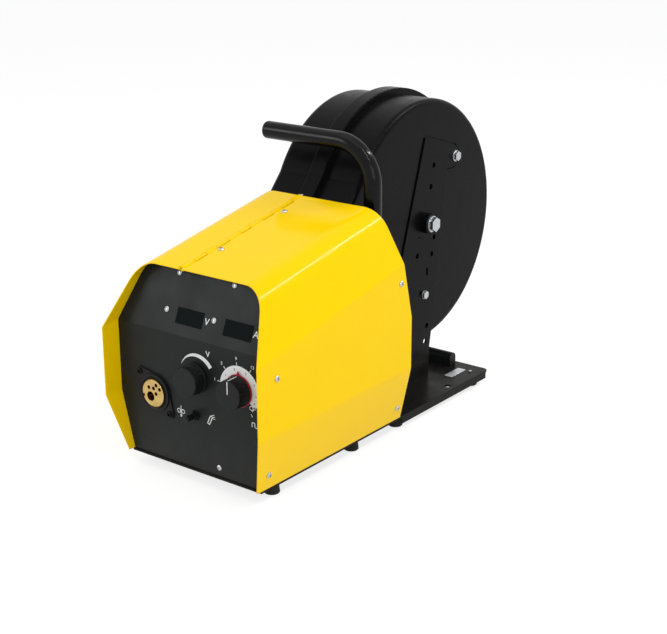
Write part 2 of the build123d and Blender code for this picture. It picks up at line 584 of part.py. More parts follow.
curl_room = rod(hinge_point(0), ROOF_DIR, CURL_R + 1.0, LENGTH)
front_panel -= curl_room
rear_wall -= curl_room
save("front_panel", front_panel)

# ================================================================ feed mechanism
PLATE_X0 = CONN_X + 22.0   # left face of the drive plate
PLATE_T = 10.0
ARM_T = 7.0
GEAR_X = CONN_X + 6.0      # left face of the gears
ROLL_X0 = CONN_X - ROLL_W / 2
SPIGOT_R = 8.0
front_y = DRIVE_Y - ROLL_SPACING / 2
rear_y_roll = DRIVE_Y + ROLL_SPACING / 2


def gear_face(teeth, turn):
    """Involute spur gear outline, 20 degree pressure angle, thinned by the backlash."""
    pitch = GEAR_M * teeth / 2
    base = pitch * math.cos(math.radians(20))
    root = pitch - 1.25 * GEAR_M
    tip = pitch + GEAR_M
    inv20 = math.tan(math.radians(20)) - math.radians(20)
    half = math.pi / (2 * teeth) - BACKLASH / (2 * pitch)

    def angle(r):
        a = math.acos(min(1.0, base / r))
        return half + inv20 - (math.tan(a) - a)
    points = []
    for i in range(teeth):
        mid = math.radians(turn) + 2 * math.pi * i / teeth
        radii = [root, max(base, root + 0.3), pitch, tip]
        flank = [(r, angle(max(r, base))) for r in radii]
        for r, a in flank:
            points.append((r * math.cos(mid - a), r * math.sin(mid - a)))
        for r, a in reversed(flank):
            points.append((r * math.cos(mid + a), r * math.sin(mid + a)))
    return make_face(Polyline(*points, close=True))


def gear(teeth, turn, y, z, bore):
    """Gear across X at (y, z); `turn` is the angle of one tooth from +Y towards +Z."""
    plane = Plane(origin=(GEAR_X, y, z), x_dir=(0, 1, 0), z_dir=(1, 0, 0))
    return plane * (extrude(gear_face(teeth, turn), GEAR_W) - Cylinder(bore, 40))


# tooth angles so that every pair is in mesh: a tooth of one faces a space of the other
to_front = math.degrees(math.atan2(LOWER_Z - PINION_Z, front_y - DRIVE_Y))
to_rear = math.degrees(math.atan2(LOWER_Z - PINION_Z, rear_y_roll - DRIVE_Y))
PINION_TURN = to_front


def mate_turn(turn, teeth, way):
    """Tooth angle of a roll gear that meshes, in direction `way`, with a gear of tooth angle `turn`."""
    share = (way - turn) / (360 / teeth)
    return way + 180 + (0.5 + share - math.floor(share)) * (360 / ROLL_TEETH)


lower_front_turn = mate_turn(PINION_TURN, PINION_TEETH, to_front)
lower_rear_turn = mate_turn(PINION_TURN, PINION_TEETH, to_rear)
upper_front_turn = mate_turn(lower_front_turn, ROLL_TEETH, 90)
upper_rear_turn = mate_turn(lower_rear_turn, ROLL_TEETH, 90)
rolls = {"lower_front": (front_y, LOWER_Z, lower_front_turn), "lower_rear": (rear_y_roll, LOWER_Z,
        lower_rear_turn),
         "upper_front": (front_y, UPPER_Z, upper_front_turn), "upper_rear": (rear_y_roll, UPPER_Z,
                 upper_rear_turn)}
CAP_GAP = 0.5
for name, (y, z, turn) in rolls.items():
    # keyed hub with its gear, and the grooved ring on it
    groove = WIRE_D * 0.9
    half = Polyline((AXLE_R + RUN_FIT, -0.2), (SPIGOT_R, -0.2), (SPIGOT_R, 0.6), (ROLL_D / 2 - 0.6, 0.6),
            (ROLL_D / 2, 1.2),
                    (ROLL_D / 2, ROLL_W / 2 - groove), (ROLL_D / 2 - groove, ROLL_W / 2), (ROLL_D / 2,
                            ROLL_W / 2 + groove),
                    (ROLL_D / 2, ROLL_W - 1.4), (ROLL_D / 2 - 0.6, ROLL_W - 0.8), (SPIGOT_R + 2,
                            ROLL_W - 0.8),
                    (SPIGOT_R + 2, GEAR_X - ROLL_X0 + 0.5), (AXLE_R + RUN_FIT, GEAR_X - ROLL_X0 + 0.5),
                            close=True)
    ring = revolve(Plane.XZ * make_face(half), Axis.Z)
    save(f"{name}_roll", gear(ROLL_TEETH, turn, y, z, AXLE_R + RUN_FIT) + Plane(origin=(ROLL_X0, y, z),
            z_dir=(1, 0, 0)) * ring)
SHAFT_END = 0.0
pinion = gear(PINION_TEETH, PINION_TURN, DRIVE_Y, PINION_Z, 0.01) + rod(
    (GEAR_X, DRIVE_Y, PINION_Z), (1, 0, 0), 5.0, SHAFT_END - GEAR_X)
save("drive_pinion", pinion)
CAP_X = ROLL_X0 - CAP_GAP


def cap(y, z):
    """Knurled head of the axle, which keeps the roll on."""
    body = Cylinder(9.0, 5.0, align=(Align.CENTER, Align.CENTER, Align.MIN))
    body = chamfer(body.edges().sort_by(Axis.Z)[-1], 1.0)
    body -= [Rot(0, 0, a) * Pos(9.4, 0, 0) * Cylinder(1.4, 20) for a in range(0, 360, 45)]
    return Plane(origin=(CAP_X, y, z), z_dir=(-1, 0, 0)) * body


def axle(y, z, inner_x, collar_x):
    body = rod((CAP_X - 3.5, y, z), (1, 0, 0), AXLE_R, inner_x - CAP_X + 3.5) + cap(y, z)
    return body + rod((GEAR_X + GEAR_W + 0.3, y, z), (1, 0, 0), 6.0, collar_x - GEAR_X - GEAR_W - 0.3)


save("lower_axles", *[axle(y, LOWER_Z, PLATE_X0 + 7, PLATE_X0) for y in (front_y, rear_y_roll)])
ARM_X1 = PLATE_X0 - 1.0
ARM_X0 = ARM_X1 - ARM_T

PIVOT_REACH = 38.0       # arm pivot beyond its roll
ARM_TOP = CONN_Z + 34.0
TIP_GAP = 3.5
PIN_R = 3.5
YZ = Plane(origin=(ARM_X0, 0, 0), x_dir=(0, 1, 0), z_dir=(1, 0, 0))


def arm(side):
    """Pressure arm with its roll axle: pivot eye, roll boss and a flat tip beside the post."""
    roll_y = DRIVE_Y + side * ROLL_SPACING / 2
    pivot = Pos(roll_y + side * PIVOT_REACH, CONN_Z) * Circle(8.0)
    boss = Pos(roll_y, UPPER_Z) * Circle(9.5)
    tip = Pos(DRIVE_Y + side * (TIP_GAP + 8), ARM_TOP - 6) * Circle(5.0)
    face = make_hull(pivot.edges() + boss.edges()) + make_hull(boss.edges() + tip.edges())
    face += Pos(DRIVE_Y + side * (TIP_GAP + 5.5), ARM_TOP - 5.5) * Rectangle(11, 11)
    body = extrude(YZ * face, ARM_T)
    body -= rod((ARM_X0 - 1, roll_y + side * PIVOT_REACH, CONN_Z), (1, 0, 0), PIN_R + RUN_FIT, 20)
    return body + axle(roll_y, UPPER_Z, ARM_X1 - 0.5, ARM_X0 + 0.5)


save("pressure_arm_front", arm(-1))
save("pressure_arm_rear", arm(1))
pins = []
for side in (-1, 1):
    p = (ARM_X0 - 2.5, DRIVE_Y + side * (ROLL_SPACING / 2 + PIVOT_REACH), CONN_Z)
    pins.append(rod(p, (1, 0, 0), PIN_R, PLATE_X0 + 7 - p[0]) + rod(p, (1, 0, 0), 6.0, 2.2))

# ---------------------------------------------------------------- tension post
POST_Z = CONN_Z + 5.0
POST_X = (ARM_X0 + ARM_X1) / 2
POST_TILT = 40.0         # shown swung out, off the arms
POST_R = 2.5
SEAT_UP = ARM_TOP - POST_Z + 0.6
swing = Pos(POST_X, DRIVE_Y, POST_Z) * Rot(0, -POST_TILT, 0)
EYE_POST_R = 4.2
KNOB_UP = 52.0
post = Rot(90, 0, 0) * Cylinder(EYE_POST_R, 6.4) + Cylinder(POST_R, KNOB_UP + 17.5, align=(Align.CENTER,
        Align.CENTER, Align.MIN))
post -= Rot(90, 0, 0) * Cylinder(2.0 + RUN_FIT, 20)
post += Pos(0, 0, SEAT_UP) * Cylinder(7.0, 1.6, align=(Align.CENTER, Align.CENTER, Align.MIN))
save("tension_post", swing * post)
half = Polyline((POST_R, 0), (8.0, 0), (8.0, 3.0), (11.0, 5.0), (11.0, 18.0), (9.0, 21.0), (0, 22.5), (0,
        18.0), (POST_R, 18.0), close=True)
grip = Pos(0, 0, KNOB_UP) * revolve(Plane.XZ * make_face(half), Axis.Z)
grip -= [Rot(0, 0, a) * Pos(11.8, 0, KNOB_UP + 12) * Cylinder(1.8, 30) for a in range(0, 360, 45)]
save("tension_knob", swing * (grip - Pos(0, 0, KNOB_UP - 1) * Cylinder(POST_R + RUN_FIT, 19.0,
        align=(Align.CENTER, Align.CENTER, Align.MIN))))
SPRING_R = 5.0
SPRING_WIRE = 0.8
SPRING_TURNS = 5


def coil(radius, wire, z0, z1, turns):
    """Coil of tilted half circles, each running smoothly into the next."""
    step = (z1 - z0 - 2 * wire) / (2 * turns)
    reach = math.sqrt(radius ** 2 + (step / 2) ** 2)
    path = []
    for i in range(2 * turns):
        s = 1 if i % 2 == 0 else -1
        z = z0 + wire + i * step
        path.append(ThreePointArc((s * radius, 0, z), (0, s * reach, z + step / 2), (-s * radius, 0,
                z + step)))
    print("spring gap", round(2 * step - 2 * wire, 2))
    start = Plane(origin=(radius, 0, z0 + wire), z_dir=(0, 1, 0))
    return sweep(start * Circle(wire), path=Wire(path))


save("tension_spring", swing * coil(SPRING_R, SPRING_WIRE, SEAT_UP + 1.65, KNOB_UP - 0.05, SPRING_TURNS))
save("pivot_pins", *pins, rod((POST_X, DRIVE_Y - 8.0, POST_Z), (0, 1, 0), 2.0, 16.0))

# ---------------------------------------------------------------- drive plate and wire guides
PLATE_REACH = ROLL_SPACING / 2 + PIVOT_REACH + 7.0
PLATE_LOW = CONN_Z - 50.0
PLATE_WAIST = CONN_Z - 18.0
PLATE_TOP = CONN_Z + 14.0
plate_face = make_face(Polyline(
    (DRIVE_Y - PLATE_REACH, PLATE_WAIST), (DRIVE_Y - PLATE_REACH + 20, PLATE_LOW),
            (DRIVE_Y + PLATE_REACH - 20, PLATE_LOW),
    (DRIVE_Y + PLATE_REACH, PLATE_WAIST), (DRIVE_Y + PLATE_REACH, PLATE_TOP), (DRIVE_Y - PLATE_REACH,
            PLATE_TOP), close=True))
plate_face = fillet(plate_face.vertices(), 8.0)
drive_plate = extrude(Plane(origin=(PLATE_X0, 0, 0), x_dir=(0, 1, 0), z_dir=(1, 0, 0)) * plate_face,
        PLATE_T)
for side in (-1, 1):
    lug = [(DRIVE_Y + side * 3.8, CONN_Z - 6), (DRIVE_Y + side * 7.4, CONN_Z - 6),
           (DRIVE_Y + side * 7.4, CONN_Z + 10), (DRIVE_Y + side * 3.8, CONN_Z + 10)]
    drive_plate += side_plate(lug, ARM_X0 - 0.3, PLATE_X0 + 1)
holder = block(CONN_X - 3.5, PLATE_X0 + 1, DRIVE_Y - 3, DRIVE_Y + 3, CONN_Z - 10.5, CONN_Z - 5.5)
holder += block(CONN_X - 3.5, CONN_X + 3.5, DRIVE_Y - 3, DRIVE_Y + 3, CONN_Z - 10.5, CONN_Z + 5)
drive_plate += holder
drive_plate -= rod((CONN_X, 0, CONN_Z), (0, 1, 0), 2.6, 400)
drive_plate -= rod((POST_X, 0, POST_Z), (0, 1, 0), 2.0, 400)
drive_plate -= rod((PLATE_X0 - 1, DRIVE_Y, PINION_Z), (1, 0, 0), 9.0, 30)
for y in (front_y, rear_y_roll):
    drive_plate -= rod((PLATE_X0 - 1, y, LOWER_Z), (1, 0, 0), AXLE_R, 8)
for side in (-1, 1):
    y = DRIVE_Y + side * (ROLL_SPACING / 2 + PIVOT_REACH)
    drive_plate -= rod((PLATE_X0 - 1, y, CONN_Z), (1, 0, 0), PIN_R, 8)
save("drive_plate", drive_plate)
BORE_R = 1.0


def guide(y0, y1, nose0, nose1, radius=GUIDE_R):
    """Wire guide along Y with tapered noses that reach between the rolls."""
    pts = [(BORE_R, 0), (1.5 if nose0 else radius, 0)]
    if nose0:
        pts.append((radius, nose0))
    pts += [(radius, y1 - y0 - nose1), (1.5 if nose1 else radius, y1 - y0), (BORE_R, y1 - y0)]
    pts = [p for i, p in enumerate(pts) if i == 0 or p != pts[i - 1]]
    body = revolve(Plane.XZ * make_face(Polyline(*pts, close=True)), Axis.Z)
    return Plane(origin=(CONN_X, y0, CONN_Z), z_dir=(0, 1, 0)) * body


NIP = 9.0
INLET_OUT = 40.0
save("wire_guides", guide(PANEL_Y + CONN_BACK - 20, front_y - NIP, 0, 7.0),
     guide(front_y + NIP, rear_y_roll - NIP, 7.0, 7.0, 2.6), guide(rear_y_roll + NIP, REAR_Y + INLET_OUT,
             7.0, 0))
INLET_R = 9.0
nipple = tube((CONN_X, REAR_Y, CONN_Z), (0, 1, 0), 16.0, GUIDE_R, 3.0)
nipple += tube((CONN_X, REAR_Y - SHEET - 8, CONN_Z), (0, 1, 0), INLET_R, GUIDE_R, SHEET + 8 + 34)
save("wire_inlet", nipple)
rear_wall -= rod((CONN_X, REAR_Y - 20, CONN_Z), (0, 1, 0), INLET_R + SCREW_FIT, 40)

# ---------------------------------------------------------------- gearbox and motor
GEARBOX_END = 20.0
gearbox = block(PLATE_X0 + PLATE_T, GEARBOX_END, DRIVE_Y - DRIVE_HOLE_Y / 2 + 1,
        DRIVE_Y + DRIVE_HOLE_Y / 2 - 1,
                PINION_Z - DRIVE_HOLE_Z / 2 + 1, PINION_Z + DRIVE_HOLE_Z / 2 - 1)
gearbox = fillet(gearbox.edges().filter_by(Axis.X), 6.0)
gearbox += block(WALL_X - 4, WALL_X, DRIVE_Y - 42, DRIVE_Y + 42, PINION_Z - 44, PINION_Z + 44)
gearbox -= rod((-60, DRIVE_Y, PINION_Z), (1, 0, 0), 5.0 + RUN_FIT, 60 + SHAFT_END + 0.3)
save("gearbox", gearbox)
MOTOR_R = 31.0
half = Polyline((0, 0), (MOTOR_R, 0), (MOTOR_R, 78), (MOTOR_R - 3, 81), (14, 81), (14, 86), (0, 86),
        close=True)
save("feed_motor", Plane(origin=(GEARBOX_END, DRIVE_Y, PINION_Z), z_dir=(1, 0,
        0)) * revolve(Plane.XZ * make_face(half), Axis.Z))

# ================================================================ gas valve, hose and current lead
valve = block(WALL_X + WALL_T, WALL_X + WALL_T + 30, HOSE_HOLE.Y - 12, HOSE_HOLE.Y + 12, HOSE_HOLE.Z - 14,
        HOSE_HOLE.Z + 14)
valve = fillet(valve.edges().filter_by(Axis.X), 3.0)
valve += rod((WALL_X + WALL_T + 15, HOSE_HOLE.Y, HOSE_HOLE.Z - 13), (0, 0, -1), 11.0, 30)
save("gas_valve", valve)


def route(points, section, radii):
    path = FilletPolyline(*points, radius=radii)
    start = Plane(origin=points[0], z_dir=Vector(*points[1]) - Vector(*points[0]))
    tube_body = sweep(start * section, path=path)
    print("route", round(path.length, 1), round(tube_body.volume / (section.area * path.length), 4))
    return tube_body


HOSE_TOP = CONN_Z + 15.0
CLAMP_Y = PANEL_Y + 46.0
hose_points = [(WALL_X + WALL_T, HOSE_HOLE.Y, HOSE_HOLE.Z), (-88, HOSE_HOLE.Y, HOSE_HOLE.Z), (-88,
        DRIVE_Y - 35, HOSE_HOLE.Z),
               (CONN_X, CLAMP_Y, 165), (CONN_X, CLAMP_Y, HOSE_TOP)]
save("gas_hose", route(hose_points, Circle(HOSE_R), [29, 42, 30]))
LEAD_R = 7.0
LEAD_X = -96.0
LEAD_Z = 44.0
lead_points = [(LEAD_X, REAR_Y - SHEET - 12, LEAD_Z), (LEAD_X, DRIVE_Y - 15, LEAD_Z), (CONN_X - 8,
        CLAMP_Y, 58), (CONN_X - 8, CLAMP_Y, CONN_Z - 15)]
save("current_lead", route(lead_points, Circle(LEAD_R), [60, 9]))

# rear sockets, seated on the sunk rear wall
POWER_R = 15.0
power = rod((LEAD_X, REAR_Y - SHEET - 12, LEAD_Z), (0, 1, 0), POWER_R - 3, SHEET + 12 + 1)
power += rod((LEAD_X, REAR_Y, LEAD_Z), (0, 1, 0), POWER_R + 2, 4) + rod((LEAD_X, REAR_Y, LEAD_Z), (0, 1,
        0), POWER_R, 22)
power -= rod((LEAD_X, REAR_Y + 4, LEAD_Z), (0, 1, 0), POWER_R - 3, 30)
power += rod((LEAD_X, REAR_Y + 3, LEAD_Z), (0, 1, 0), 5.5, 15)
save("power_socket", power)
rear_wall -= rod((LEAD_X, REAR_Y - 20, LEAD_Z), (0, 1, 0), POWER_R - 3 + SCREW_FIT, 40)
CONTROL_X = -48.0
control = rod((CONTROL_X, REAR_Y - SHEET - 10, LEAD_Z), (0, 1, 0), 10.0, SHEET + 11)
control += rod((CONTROL_X, REAR_Y, LEAD_Z), (0, 1, 0), 15.0, 3) + rod((CONTROL_X, REAR_Y, LEAD_Z), (0, 1,
        0), 12.0, 14)
control -= rod((CONTROL_X, REAR_Y + 5, LEAD_Z), (0, 1, 0), 10.0, 20)
save("control_socket", control)
rear_wall -= rod((CONTROL_X, REAR_Y - 20, LEAD_Z), (0, 1, 0), 10.0 + SCREW_FIT, 40)
GAS_X = -4.0
gas = rod((GAS_X, REAR_Y - SHEET - 12, LEAD_Z), (0, 1, 0), 6.0, SHEET + 12)
gas += Plane(origin=(GAS_X, REAR_Y, LEAD_Z), z_dir=(0, 1, 0)) * extrude(RegularPolygon(9, 6), 6)
gas += rod((GAS_X, REAR_Y + 6, LEAD_Z), (0, 1, 0), 5.0, 16)
gas -= rod((GAS_X, REAR_Y + 8, LEAD_Z), (0, 1, 0), 3.0, 20)
save("gas_inlet", gas)
rear_wall -= rod((GAS_X, REAR_Y - 20, LEAD_Z), (0, 1, 0), 6.0 + SCREW_FIT, 40)
save("chassis_wall", chassis_wall)

# ================================================================ handle
FOOT_PLATE = 4.0
grip_path = FilletPolyline((LEG_X, HANDLE_Y, 0), (LEG_X, HANDLE_Y, HANDLE_Z), (GRIP_END, HANDLE_Y,
        HANDLE_Z), radius=HANDLE_BEND)
base = Plane(origin=(LEG_X, HANDLE_Y, 0), z_dir=(0, 0, 1))
handle = sweep(base * (Circle(TUBE_R) - Circle(TUBE_R - TUBE_T)), path=grip_path)
shoe = Pos(LEG_X, HANDLE_Y + 8, 0) * Box(44, 56, FOOT_PLATE, align=(Align.CENTER, Align.CENTER, Align.MIN))
shoe = fillet(shoe.edges().filter_by(Axis.Z), 5.0) - Pos(LEG_X, HANDLE_Y, 0) * Cylinder(TUBE_R - TUBE_T, 20)
shoe_screws = [(LEG_X - 13, HANDLE_Y + 27), (LEG_X + 13, HANDLE_Y + 27)]
for x, y in shoe_screws:
    shoe -= Pos(x, y, 0) * Cylinder(3.1, 20)
    deck -= Pos(x, y, 0) * Cylinder(3.1, 20)
save("handle_tube", handle + shoe)
plug = rod((GRIP_END, HANDLE_Y, HANDLE_Z), (-1, 0, 0), TUBE_R - 0.6, 2.6) + rod(
    (GRIP_END, HANDLE_Y, HANDLE_Z), (1, 0, 0), TUBE_R - TUBE_T - 0.05, 14)
plug = chamfer(plug.edges().sort_by(Axis.X)[0], 1.0)
save("handle_plug", plug)
CLAMP_Z = (60.0, 135.0)
rear_wall -= block(LEG_X - 24, LEG_X + 24, REAR_Y + 1, REAR_Y + 60, -1, FOOT_PLATE + 2)
clamps = []
clamp_screws = []
for z in CLAMP_Z:
    strap = Pos(LEG_X, REAR_Y, z - 9) * Box(60, 3, 18, align=(Align.CENTER, Align.MIN, Align.MIN))
    strap += Pos(LEG_X, REAR_Y, z - 9) * Box(2 * TUBE_R + 6, HANDLE_Y - REAR_Y, 18, align=(Align.CENTER,
            Align.MIN, Align.MIN))
    strap += Pos(LEG_X, HANDLE_Y, z - 9) * Cylinder(TUBE_R + 3, 18, align=(Align.CENTER, Align.CENTER,
            Align.MIN))
    strap -= Pos(LEG_X, HANDLE_Y, z - 10) * Cylinder(TUBE_R, 20, align=(Align.CENTER, Align.CENTER,
            Align.MIN))
    for side in (-1, 1):
        p = (LEG_X + side * 23, REAR_Y + 3, z)
        strap -= rod((p[0], REAR_Y - 5, z), (0, 1, 0), 2.6, 20)
        rear_wall -= rod((p[0], REAR_Y - 5, z), (0, 1, 0), 2.6, 20)
        clamp_screws.append(pan_screw(p, (0, 1, 0), 4.6, 3.0, 8.0, 2.5))
    clamps.append(strap)
save("rear_wall", rear_wall)
save("handle_clamps", *clamps)
save("frame_screws", *clamp_screws, *foot_screws, *[pan_screw(Vector(x, y, FOOT_PLATE), (0, 0, 1), 5.0,
        3.2, 7.5, 3.0) for x, y in shoe_screws])

# ================================================================ spool cover
FLANK_ANGLE = 124.8
SPOOL_CORNER_UP = 62.7
AXLE = Pos(0, SPOOL_Y, SPOOL_Z)
# the shells are shaped about their own axle, then moved to it
flank_top = (SPOOL_R * math.cos(math.radians(FLANK_ANGLE)), SPOOL_R * math.sin(math.radians(FLANK_ANGLE)))
flank = Polyline((0, 0), flank_top, (-SPOOL_R, SPOOL_CORNER_UP), (-SPOOL_R, 0), close=True)
profile = Circle(SPOOL_R) + make_face(flank)


def cover_solid(grow, x0, x1):
    face = offset(profile, grow) if grow else profile
    return extrude(Plane(origin=(x0, 0, 0), x_dir=(0, 1, 0), z_dir=(1, 0, 0)) * face, x1 - x0)


RIM_GAP = 0.5
left_shell = cover_solid(0, SPOOL_LEFT, BAND_LEFT - RIM_GAP)
left_shell = fillet(left_shell.faces().sort_by(Axis.X)[0].edges(), 10.0)
cavity = cover_solid(-SPOOL_WALL, SPOOL_LEFT + SPOOL_WALL, BAND_LEFT + 10)
cavity = fillet(cavity.faces().sort_by(Axis.X)[0].edges(), 7.0)
left_shell -= cavity
right_shell = cover_solid(0, BAND_RIGHT - 1, SPOOL_RIGHT)
right_shell = fillet(right_shell.faces().sort_by(Axis.X)[-1].edges(), 8.0)
band = cover_solid(BAND_UP, BAND_LEFT, BAND_RIGHT)
band = fillet(band.faces().sort_by(Axis.X)[0].edges() + band.faces().sort_by(Axis.X)[-1].edges(), 2.0)
right_shell += band
right_shell -= cover_solid(-SPOOL_WALL, BAND_LEFT - 5, SPOOL_RIGHT - SPOOL_WALL)
right_shell -= cover_solid(BAND_UP - SPOOL_WALL, BAND_LEFT + SPOOL_WALL, BAND_RIGHT - SPOOL_WALL)
left_shell = AXLE * left_shell
right_shell = AXLE * right_shell

# ---------------------------------------------------------------- bracket
# outline, holes and bolts are given from the spool axle
bracket_view = [(-3, 126.7), (77, 103.2), (92, 86.9), (78, 71.7), (55.8, 71.7), (40.4, -24), (37.9, -64.6),
                (24.7, -153.6), (16.4, -198.1), (15, -SPOOL_Z), (-112, -SPOOL_Z), (-53.3, -26.5)]
bracket_face = Pos(SPOOL_Y, SPOOL_Z) * make_face(Polyline(*bracket_view, close=True))
round_tip = [v for v in bracket_face.vertices() if v.X > SPOOL_Y + 66]
bracket_face = fillet(round_tip, 7.0)
YZ_OUT = Plane(origin=(BRACKET_X, 0, 0), x_dir=(0, 1, 0), z_dir=(1, 0, 0))
bracket = extrude(YZ_OUT * bracket_face, BRACKET_T)
pocket = offset(bracket_face, 3.0)
PAD_X = SPOOL_RIGHT - 2 * SPOOL_WALL - 0.3
pad_plane = Plane(origin=(PAD_X, 0, 0), x_dir=(0, 1, 0), z_dir=(1, 0, 0))
pad = extrude(pad_plane * offset(bracket_face, 6.0), SPOOL_WALL + 1.3)
right_shell += pad & AXLE * cover_solid(-1.0, SPOOL_LEFT, SPOOL_RIGHT - 2)
right_shell -= extrude(Plane(origin=(BRACKET_X - 0.3, 0, 0), x_dir=(0, 1, 0), z_dir=(1, 0, 0)) * pocket, 20)
BRACKET_FOOT = 34.0
bracket += block(BRACKET_X - BRACKET_FOOT, BRACKET_X + BRACKET_T, SPOOL_Y - 104, SPOOL_Y + 11, 0, BRACKET_T)
foot_bolts = [(BRACKET_X - 18, SPOOL_Y - 84), (BRACKET_X - 18, SPOOL_Y - 9)]
BOLT_FIT = 0.1
for x, y in foot_bolts:
    bracket -= Pos(x, y, 0) * Cylinder(3.0 + BOLT_FIT, 30)
    deck -= Pos(x, y, 0) * Cylinder(3.0 + BOLT_FIT, 30)
holes = [(19.8, 82.8), (13, 51.7), (24, -26.6), (-20, -46.5), (18.4, -51.7), (8.4, -161.8), (4.3, -185.9)]
for dy, dz in holes:
    bracket -= rod((BRACKET_X - 5, SPOOL_Y + dy, SPOOL_Z + dz), (1, 0, 0), 4.2, 20)
bracket -= rod((BRACKET_X - 5, SPOOL_Y - 15.4, SPOOL_Z - 19.6), (1, 0, 0), 1.6, 20)
bracket -= Pos(BRACKET_X, SPOOL_Y - 9.4, SPOOL_Z - 106.4) * Box(20, 6, 6)
bracket -= Pos(BRACKET_X, SPOOL_Y + 6.7, SPOOL_Z - 76.4) * Box(20, 5, 12)
side_bolts = [(SPOOL_Y + 77.6, SPOOL_Z + 86.9, 4.0), (SPOOL_Y - 0.3, SPOOL_Z - 110.6, 3.0)]
for y, z, r in side_bolts:
    bracket -= rod((BRACKET_X - 5, y, z), (1, 0, 0), r + BOLT_FIT, 20)
    right_shell -= rod((BRACKET_X - 25, y, z), (1, 0, 0), r + BOLT_FIT, 40)
BOSS_R = 15.0
BOSS_L = 11.0
AXLE_BOLT_R = 5.0
bracket += rod((BRACKET_X, SPOOL_Y, SPOOL_Z), (1, 0, 0), BOSS_R, BRACKET_T + BOSS_L)
bracket -= rod((BRACKET_X - 5, SPOOL_Y, SPOOL_Z), (1, 0, 0), AXLE_BOLT_R + BOLT_FIT, 40)
save("spool_bracket", bracket)
side_set = [hex_bolt((BRACKET_X + BRACKET_T, y, z), (1, 0, 0), 2 * r + 5, r * 1.1, r, BRACKET_T + 5,
        r * 2.1, 1.2)
            for y, z, r in side_bolts]
save("bracket_bolts", *side_set, *[hex_bolt((x, y, BRACKET_T), (0, 0, 1), 10, 4, 3.0,
        BRACKET_T + DECK_T + 1, 6.5, 1.2)
                             for x, y in foot_bolts])
save("axle_bolt", hex_bolt((BRACKET_X + BRACKET_T + BOSS_L, SPOOL_Y, SPOOL_Z), (1, 0, 0), 19, 6.5,
        AXLE_BOLT_R,
                           BRACKET_T + BOSS_L + 30, 12.0, 2.0))

# ---------------------------------------------------------------- spool hub
HUB_AXLE_R = 8.0
HUB_LEFT = -72.0
HUB_RIGHT = 26.0
right_shell -= rod((0, SPOOL_Y, SPOOL_Z), (1, 0, 0), HUB_AXLE_R + BOLT_FIT, 60)
hub_axle = rod((HUB_LEFT + 6, SPOOL_Y, SPOOL_Z), (1, 0, 0), HUB_AXLE_R, BRACKET_X - HUB_LEFT - 6)
hub_axle += rod((HUB_RIGHT + 0.5, SPOOL_Y, SPOOL_Z), (1, 0, 0), 20.0, 8.0)
hub_axle += Plane(origin=(HUB_LEFT + 12, SPOOL_Y, SPOOL_Z), z_dir=(1, 0, 0)) * extrude(RegularPolygon(13,
        6), 7)
hub_axle -= rod((BRACKET_X - 32, SPOOL_Y, SPOOL_Z), (1, 0, 0), AXLE_BOLT_R + BOLT_FIT, 60)
save("hub_axle", hub_axle)
hub = tube((HUB_LEFT, SPOOL_Y, SPOOL_Z), (1, 0, 0), HUB_R, HUB_R - 3.5, HUB_RIGHT - HUB_LEFT)
hub += tube((HUB_LEFT + 20, SPOOL_Y, SPOOL_Z), (1, 0, 0), HUB_AXLE_R + 4, HUB_AXLE_R + RUN_FIT,
        HUB_RIGHT - HUB_LEFT - 20)
for a in range(0, 360, 60):
    web = Pos(0, 0, HUB_AXLE_R + 3) * Box(HUB_RIGHT - HUB_LEFT - 20, 3, HUB_R - HUB_AXLE_R - 5,
            align=(Align.MAX, Align.CENTER, Align.MIN))
    hub += Pos(HUB_RIGHT, SPOOL_Y, SPOOL_Z) * Rot(a, 0, 0) * web
# back flange, and the pin that drives the spool by the hole in its side
HUB_FLANGE_R = 52.0
DRIVE_PIN_AT = 44.5
DRIVE_PIN_R = 4.5
hub += tube((HUB_RIGHT - 4, SPOOL_Y, SPOOL_Z), (1, 0, 0), HUB_FLANGE_R, HUB_AXLE_R + RUN_FIT, 4.0)
hub += rod((HUB_RIGHT - 14, SPOOL_Y, SPOOL_Z - DRIVE_PIN_AT), (1, 0, 0), DRIVE_PIN_R, 12)
CATCH_OFF = 12.0
CATCH_REACH = 26.0
CATCH_T = 5.0
CATCH_PIN_R = 3.0
hub += rod((HUB_LEFT, SPOOL_Y, SPOOL_Z), (1, 0, 0), HUB_R - 1.0, 3.0)
hub -= rod((HUB_LEFT - 5, SPOOL_Y + CATCH_OFF, SPOOL_Z), (1, 0, 0), CATCH_PIN_R + RUN_FIT, 20)
save("spool_hub", hub)
catch_face = make_hull((Pos(SPOOL_Y + CATCH_OFF, SPOOL_Z) * Circle(7.0)).edges()
                       + (Pos(SPOOL_Y + CATCH_OFF - CATCH_REACH, SPOOL_Z) * Circle(6.0)).edges())
catch = extrude(Plane(origin=(HUB_LEFT - 0.5, 0, 0), x_dir=(0, 1, 0), z_dir=(1, 0, 0)) * catch_face,
        -CATCH_T)
catch += rod((HUB_LEFT - 1, SPOOL_Y + CATCH_OFF, SPOOL_Z), (1, 0, 0), CATCH_PIN_R, 5.0)
save("hub_catch", catch)

# ---------------------------------------------------------------- shell hinge and latch
PIN_X = BAND_LEFT - 5.7
PIN_Y = SPOOL_Y + SPOOL_R + 4.0
EYE_R = 4.0
COVER_PIN_R = 2.0
EYE_H = 8.0
EYE_UP = 60.0
